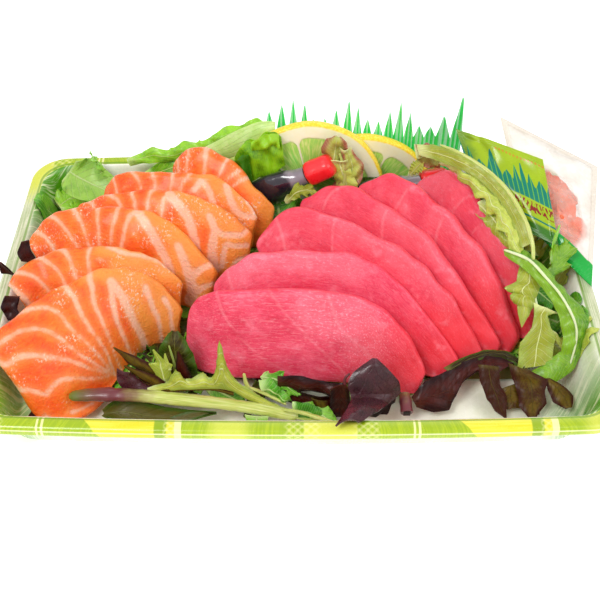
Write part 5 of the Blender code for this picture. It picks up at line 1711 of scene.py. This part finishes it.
def divider():
    """A pleated film whose top is cut into narrow blades, each two or three pleats wide."""
    tips = np.array(BLADE_TIPS)
    bounds = np.concatenate([[DIVIDER_LEFT], (tips[1:, 0] + tips[:-1, 0]) / 2, [DIVIDER_RIGHT]])
    rows = []
    for k, (centre, tip) in enumerate(tips):
        left, right = bounds[k], bounds[k + 1]
        root = BLADE_ROOT - BLADE_FALL * k
        for share in np.arange(BLADE_STEPS) / BLADE_STEPS:
            x = left + (right - left) * share
            reach = (centre - left) if x < centre else (right - centre)
            off = min(1.0, abs(x - centre) / reach)
            rows.append((x, root + (tip - root) * (1 - off) ** 1.05, k + share))
    rows.append((DIVIDER_RIGHT, DIVIDER_END, len(tips)))
    xs, heights, blades = np.array(rows).T
    rise = np.linspace(0, 1, DIVIDER_ROWS)
    stripe = (blades * PLEATS) % 1
    fold = 2 * np.abs(stripe - 0.5)
    z = DIVIDER_FOOT + (heights - DIVIDER_FOOT)[:, None] * rise[None]
    pleat = 0.55 * (2 * fold - 1)[:, None] * (1 - 0.5 * rise[None])
    y = DIVIDER_Y + pleat + 0.35 * np.sin(blades * 1.7)[:, None] * rise
    across = np.repeat(xs[:, None], DIVIDER_ROWS, axis=1)
    piece = Piece("grass_blades", "grass_film", "grass_divider")
    stripe = np.repeat(stripe[:, None], DIVIDER_ROWS, axis=1)
    face = np.stack([across, y, z], -1)
    piece.sheet(face, GRASS_THICK, GRASS, stripe=stripe, rise=smooth(z, 44, 60), fold=across)
    piece.make()


# ---------------------------------------------------------------- sachets

WASABI_CORNERS = ((62, 52, 51), (93.5, 36, 47.5), (97, 5, 31), (70, 24, 34))  # from the back left, round it
GINGER_CORNERS = ((82, 66, 46), (120, 49, 34), (107, -10, 25.5), (87, 22, 29))
GINGER_MIDDLE, GINGER_SPREAD = (0.54, 0.62), (0.31, 0.30)
WASABI_STEPS, GINGER_STEPS, GINGER_SLICES, GINGER_THICK = 90, 80, 46, 0.7


def pack_grid(corners, count):
    """Shares across and down a pack, its flat middle sheet and the way that sheet faces."""
    a, b = np.meshgrid(np.linspace(0, 1, count), np.linspace(0, 1, count), indexing="ij")
    tl, tr, br, bl = (np.array(c, float) for c in corners)
    at, bt = a[..., None], b[..., None]
    sheet = (1 - at) * (1 - bt) * tl + at * (1 - bt) * tr + at * bt * br + (1 - at) * bt * bl
    return a, b, sheet, grid_normals(sheet)


def sealed(a, b, side, end):
    """1 on a pack's flat seals and 0 inside them, whose inner edges lie at the side and end shares."""
    return 1 - smooth(np.minimum(a, 1 - a), 0.05, side) * smooth(np.minimum(b, 1 - b), end[0], end[1])


def swollen(a, b, least, most, power):
    """Half a pack's thickness, from least at its edges."""
    return least + most * (np.clip(np.sin(math.pi * a), 0, 1) * np.clip(np.sin(math.pi * b), 0, 1)) ** power


def wasabi_look():
    """Printed film: green fields, grass strokes, rows of dots and bars, and crimped seals."""
    look = Look("wasabi_pack", coat=(0.25, 0.15), gloss=0.35)
    a, b = look.field("a"), look.field("b")
    cloud = look.noise(8, 3, 0.6)
    base = mix(cloud, "90ac08", "acc816")
    base = mix(span(a + cloud * 0.3, 0.42, 0.2), base, "6d9422")
    grass = span(look.field("grass"), -0.2, 0.2)
    teal = mix(span(from_half(a * 17.0), 0.05, 0.12), "6cb42a", "007c68")
    base = mix(grass, base, teal)
    marks = span(b, 0.6, 0.61) * span(b, 0.74, 0.73)
    bars = span(look.noise(1.0, 1, 0.4, look.along("a", "b", stretch=(0.028, 0.06, 1))), 0.5, 0.54)
    base = mix(marks * (bars * span(a, 0.5, 0.54)), base, "8c1a14")
    row = span(abs(b - 0.1), 0.016, 0.01) * span(from_half(a * 24.0), 0.3, 0.24)
    base = mix(row * span(a, 0.4, 0.44) * 0.6, base, "d8572a")
    line = span(abs(b - 0.8), 0.014, 0.008)
    base = mix(line * span(a, 0.4, 0.5), base, "0b7a63")
    base = mix(span(b, 0.83, 0.87), base, "3c7a1c")
    crimp = (b * 190.0).math("SINE") * look.field("seal")
    height = crimp * 0.3 + look.noise(5, 3, 0.6)
    return look.dress(base, height, 0.35, 0.5, span(cloud, 0.3, 0.7, 0.2, 0.35))


def wasabi():
    """A sealed flat pack, creased and curled at its free corner, with grass printed across it."""
    a, b, sheet, normal = pack_grid(WASABI_CORNERS, WASABI_STEPS)
    seal, swell = sealed(a, b, 0.09, (0.05, 0.08)), swollen(a, b, 0.25, 1.7, 0.8)
    fold = 1.3 * np.exp(-(((a - 0.25 - 0.35 * b) / 0.05) ** 2)) * (1 - b)
    wave = 0.5 * wobble(np.stack([a * 35, b * 30], -1), 16, 3) * (1 - seal)
    curl = -2.2 * smooth(a, 0.35, 0.0) * (1 - b)
    spike = np.abs(2 * ((a * 8.5 + 0.4 * np.sin(9 * a)) % 1) - 1)
    height = 0.16 + 0.20 * (0.5 + 0.5 * np.sin(a * 19 + 1.0)) * spike + 0.10 * spike
    grass = np.minimum(b - (0.58 - height), 0.58 - b) * 30
    shift = (curl + wave - fold * 0.6)[..., None]
    piece = Piece("wasabi_pack", "wasabi_pack", "wasabi_sachet")
    swell = swell[..., None]
    front, back = sheet + normal * (swell + shift), sheet - normal * (swell - shift)
    piece.slab(front, back, WASABI, a=a, b=b, grass=grass, seal=seal)
    piece.make()


def ginger_looks():
    """Clear film, milky at its seals and green at its printed foot, and the fibrous pink ginger in it."""
    film = Look("ginger_film", Roughness=0.16, coat=(0.5, 0.06), gloss=0.4)
    a, b = film.field("a"), film.field("b")
    cloud = film.noise(9, 4, 0.6)
    printed = span(film.field("printed"), -0.15, 0.15)
    milky = film.ramp(cloud, (0.3, "f3e8da"), (0.5, "fbf4ea"), (0.7, "fffdf8"))
    milky = mix(film.field("seal") * 0.6, milky, "efe2d0")
    film.set("Base Color", mix(printed, milky, mix(cloud, "00992a", "12b545")))
    clear = span(cloud, 0.35, 0.7, 0.14, 0.36)
    clear = mix(span(film.field("full"), 0.2, 0.8), span(cloud, 0.3, 0.7, 0.6, 0.8), clear)
    clear = clear.math("MAXIMUM", film.field("seal") * 0.9)
    film.set("Alpha", clear.math("MAXIMUM", printed))
    crimp = ((a + b) * 160.0).math("SINE") * (film.field("seal") * 0.25)
    film.set("Normal", film.bump(film.noise(4, 4, 0.6) + crimp, 0.5, 0.6))
    meat = Look("ginger_slices", coat=(0.5, 0.1), soft=(0.3, (1.0, 0.4, 0.2), 0.003), Roughness=0.3)
    fibre = meat.noise(1.0, 4, 0.6, meat.along("along", "side", stretch=(0.5, 0.06, 1)))
    pink = meat.ramp(fibre, (0.3, "ff4c1c"), (0.5, "ff6c3c"), (0.7, "ff946c"))
    return film, meat.dress(pink, fibre, 0.4, 0.6)


def ginger():
    """A sealed film pillow with a printed foot, holding thin curved slices low in its middle."""
    a, b, sheet, normal = pack_grid(GINGER_CORNERS, GINGER_STEPS)
    seal, swell = sealed(a, b, 0.08, (0.04, 0.07)), swollen(a, b, 0.2, 3.1, 0.7)
    wave = 0.5 * wobble(np.stack([a * 40, b * 60], -1), 15, 8) * (1 - seal)
    printed = (b - 0.84) * 50
    full = np.hypot((a - GINGER_MIDDLE[0]) / GINGER_SPREAD[0], (b - GINGER_MIDDLE[1]) / GINGER_SPREAD[1])
    full = 1 - smooth(full, 0.7, 1.25)
    piece = Piece("ginger_film", "ginger_pack", "ginger_sachet")
    front, back = sheet + normal * (swell + wave)[..., None], sheet - normal * (swell - wave)[..., None]
    piece.slab(front, back, FILM, a=a, b=b, printed=printed, seal=seal, full=full)
    piece.make()
    piece = Piece("ginger_slices", "ginger_pack", "ginger_sachet")
    chance = np.random.default_rng(77)
    across, down = unit(sheet[60, 40] - sheet[20, 40]), unit(sheet[40, 60] - sheet[40, 20])
    out = normal[40, 40]
    g, h = np.meshgrid(np.linspace(-1, 1, 18), np.linspace(-1, 1, 9), indexing="ij")
    for _ in range(GINGER_SLICES):
        reach, way = math.sqrt(chance.uniform(0, 1)), chance.uniform(0, 2 * math.pi)
        ca = GINGER_MIDDLE[0] + 0.82 * GINGER_SPREAD[0] * reach * math.cos(way)
        cb = GINGER_MIDDLE[1] + 0.82 * GINGER_SPREAD[1] * reach * math.sin(way)
        turn, size = chance.uniform(0, 2 * math.pi), chance.uniform(4.5, 6.5)
        heading = across * math.cos(turn) + down * math.sin(turn)
        aside = down * math.cos(turn) - across * math.sin(turn)
        row, column = int(ca * (GINGER_STEPS - 1)), int(cb * (GINGER_STEPS - 1))
        centre = sheet[row, column] + out * chance.uniform(-1.2, 1.0)
        lift = 0.7 * np.sin(2.4 * g + turn) + 0.5 * np.sin(2.0 * h + 3.0 * turn)
        wide = 0.62 * size * np.sqrt(1.02 - g * g) * h
        face = centre + (size * g)[..., None] * heading + wide[..., None] * aside
        piece.sheet(face + lift[..., None] * out, GINGER_THICK, MEAT, along=(g + 1) / 2, side=h)
    piece.make()


# ---------------------------------------------------------------- build

place_camera()
studio()

# What lies on the salad, then maps of its underside, the tray and the salad's top.
LYING = [n for n in NODES if n.startswith(("salmon", "tuna", "lemon", "soy", "wasabi", "ginger"))]
CEILING = lowest_near(height_map(node_tree_of(*LYING), 0.9, 1, 99.0))
FLOOR = height_map(node_tree_of("tray"), MAP_TOP, -1, 0.0)
BED = height_map(node_tree_of("salad_bed"), MAP_TOP, -1, 1.0)

TRAY_LOOK = tray_look()
LEMON, BOTTLE, CAP, GRASS = lemon_look(), bottle_look(), cap_look(), grass_look()
WASABI = wasabi_look()
FILM, MEAT = ginger_looks()
leaf_looks()
STALK = stalk_look()

fish("salmon", SALMON, salmon_look(), 1.9, 100)
fish("tuna", TUNA, tuna_look(), 1.7, 200)
tray_piece()
# The core takes the dark olive leaf look: painted shade in the gaps of the heap.
salad_core(LEAVES["olive"])
loose_salad()
for make in NAMED_LEAVES:
    make()
lemon(1, (6, 48.8, 22.8), 78)
lemon(2, (27.5, 55.5, 13.4), 84)
bottle(1, (4.4, 42, 35.6), (-28, 44, 16.5))
bottle(2, (49.5, 45.5, 28.5), (11.8, 37.5, 24.5))
divider()
wasabi()
ginger()
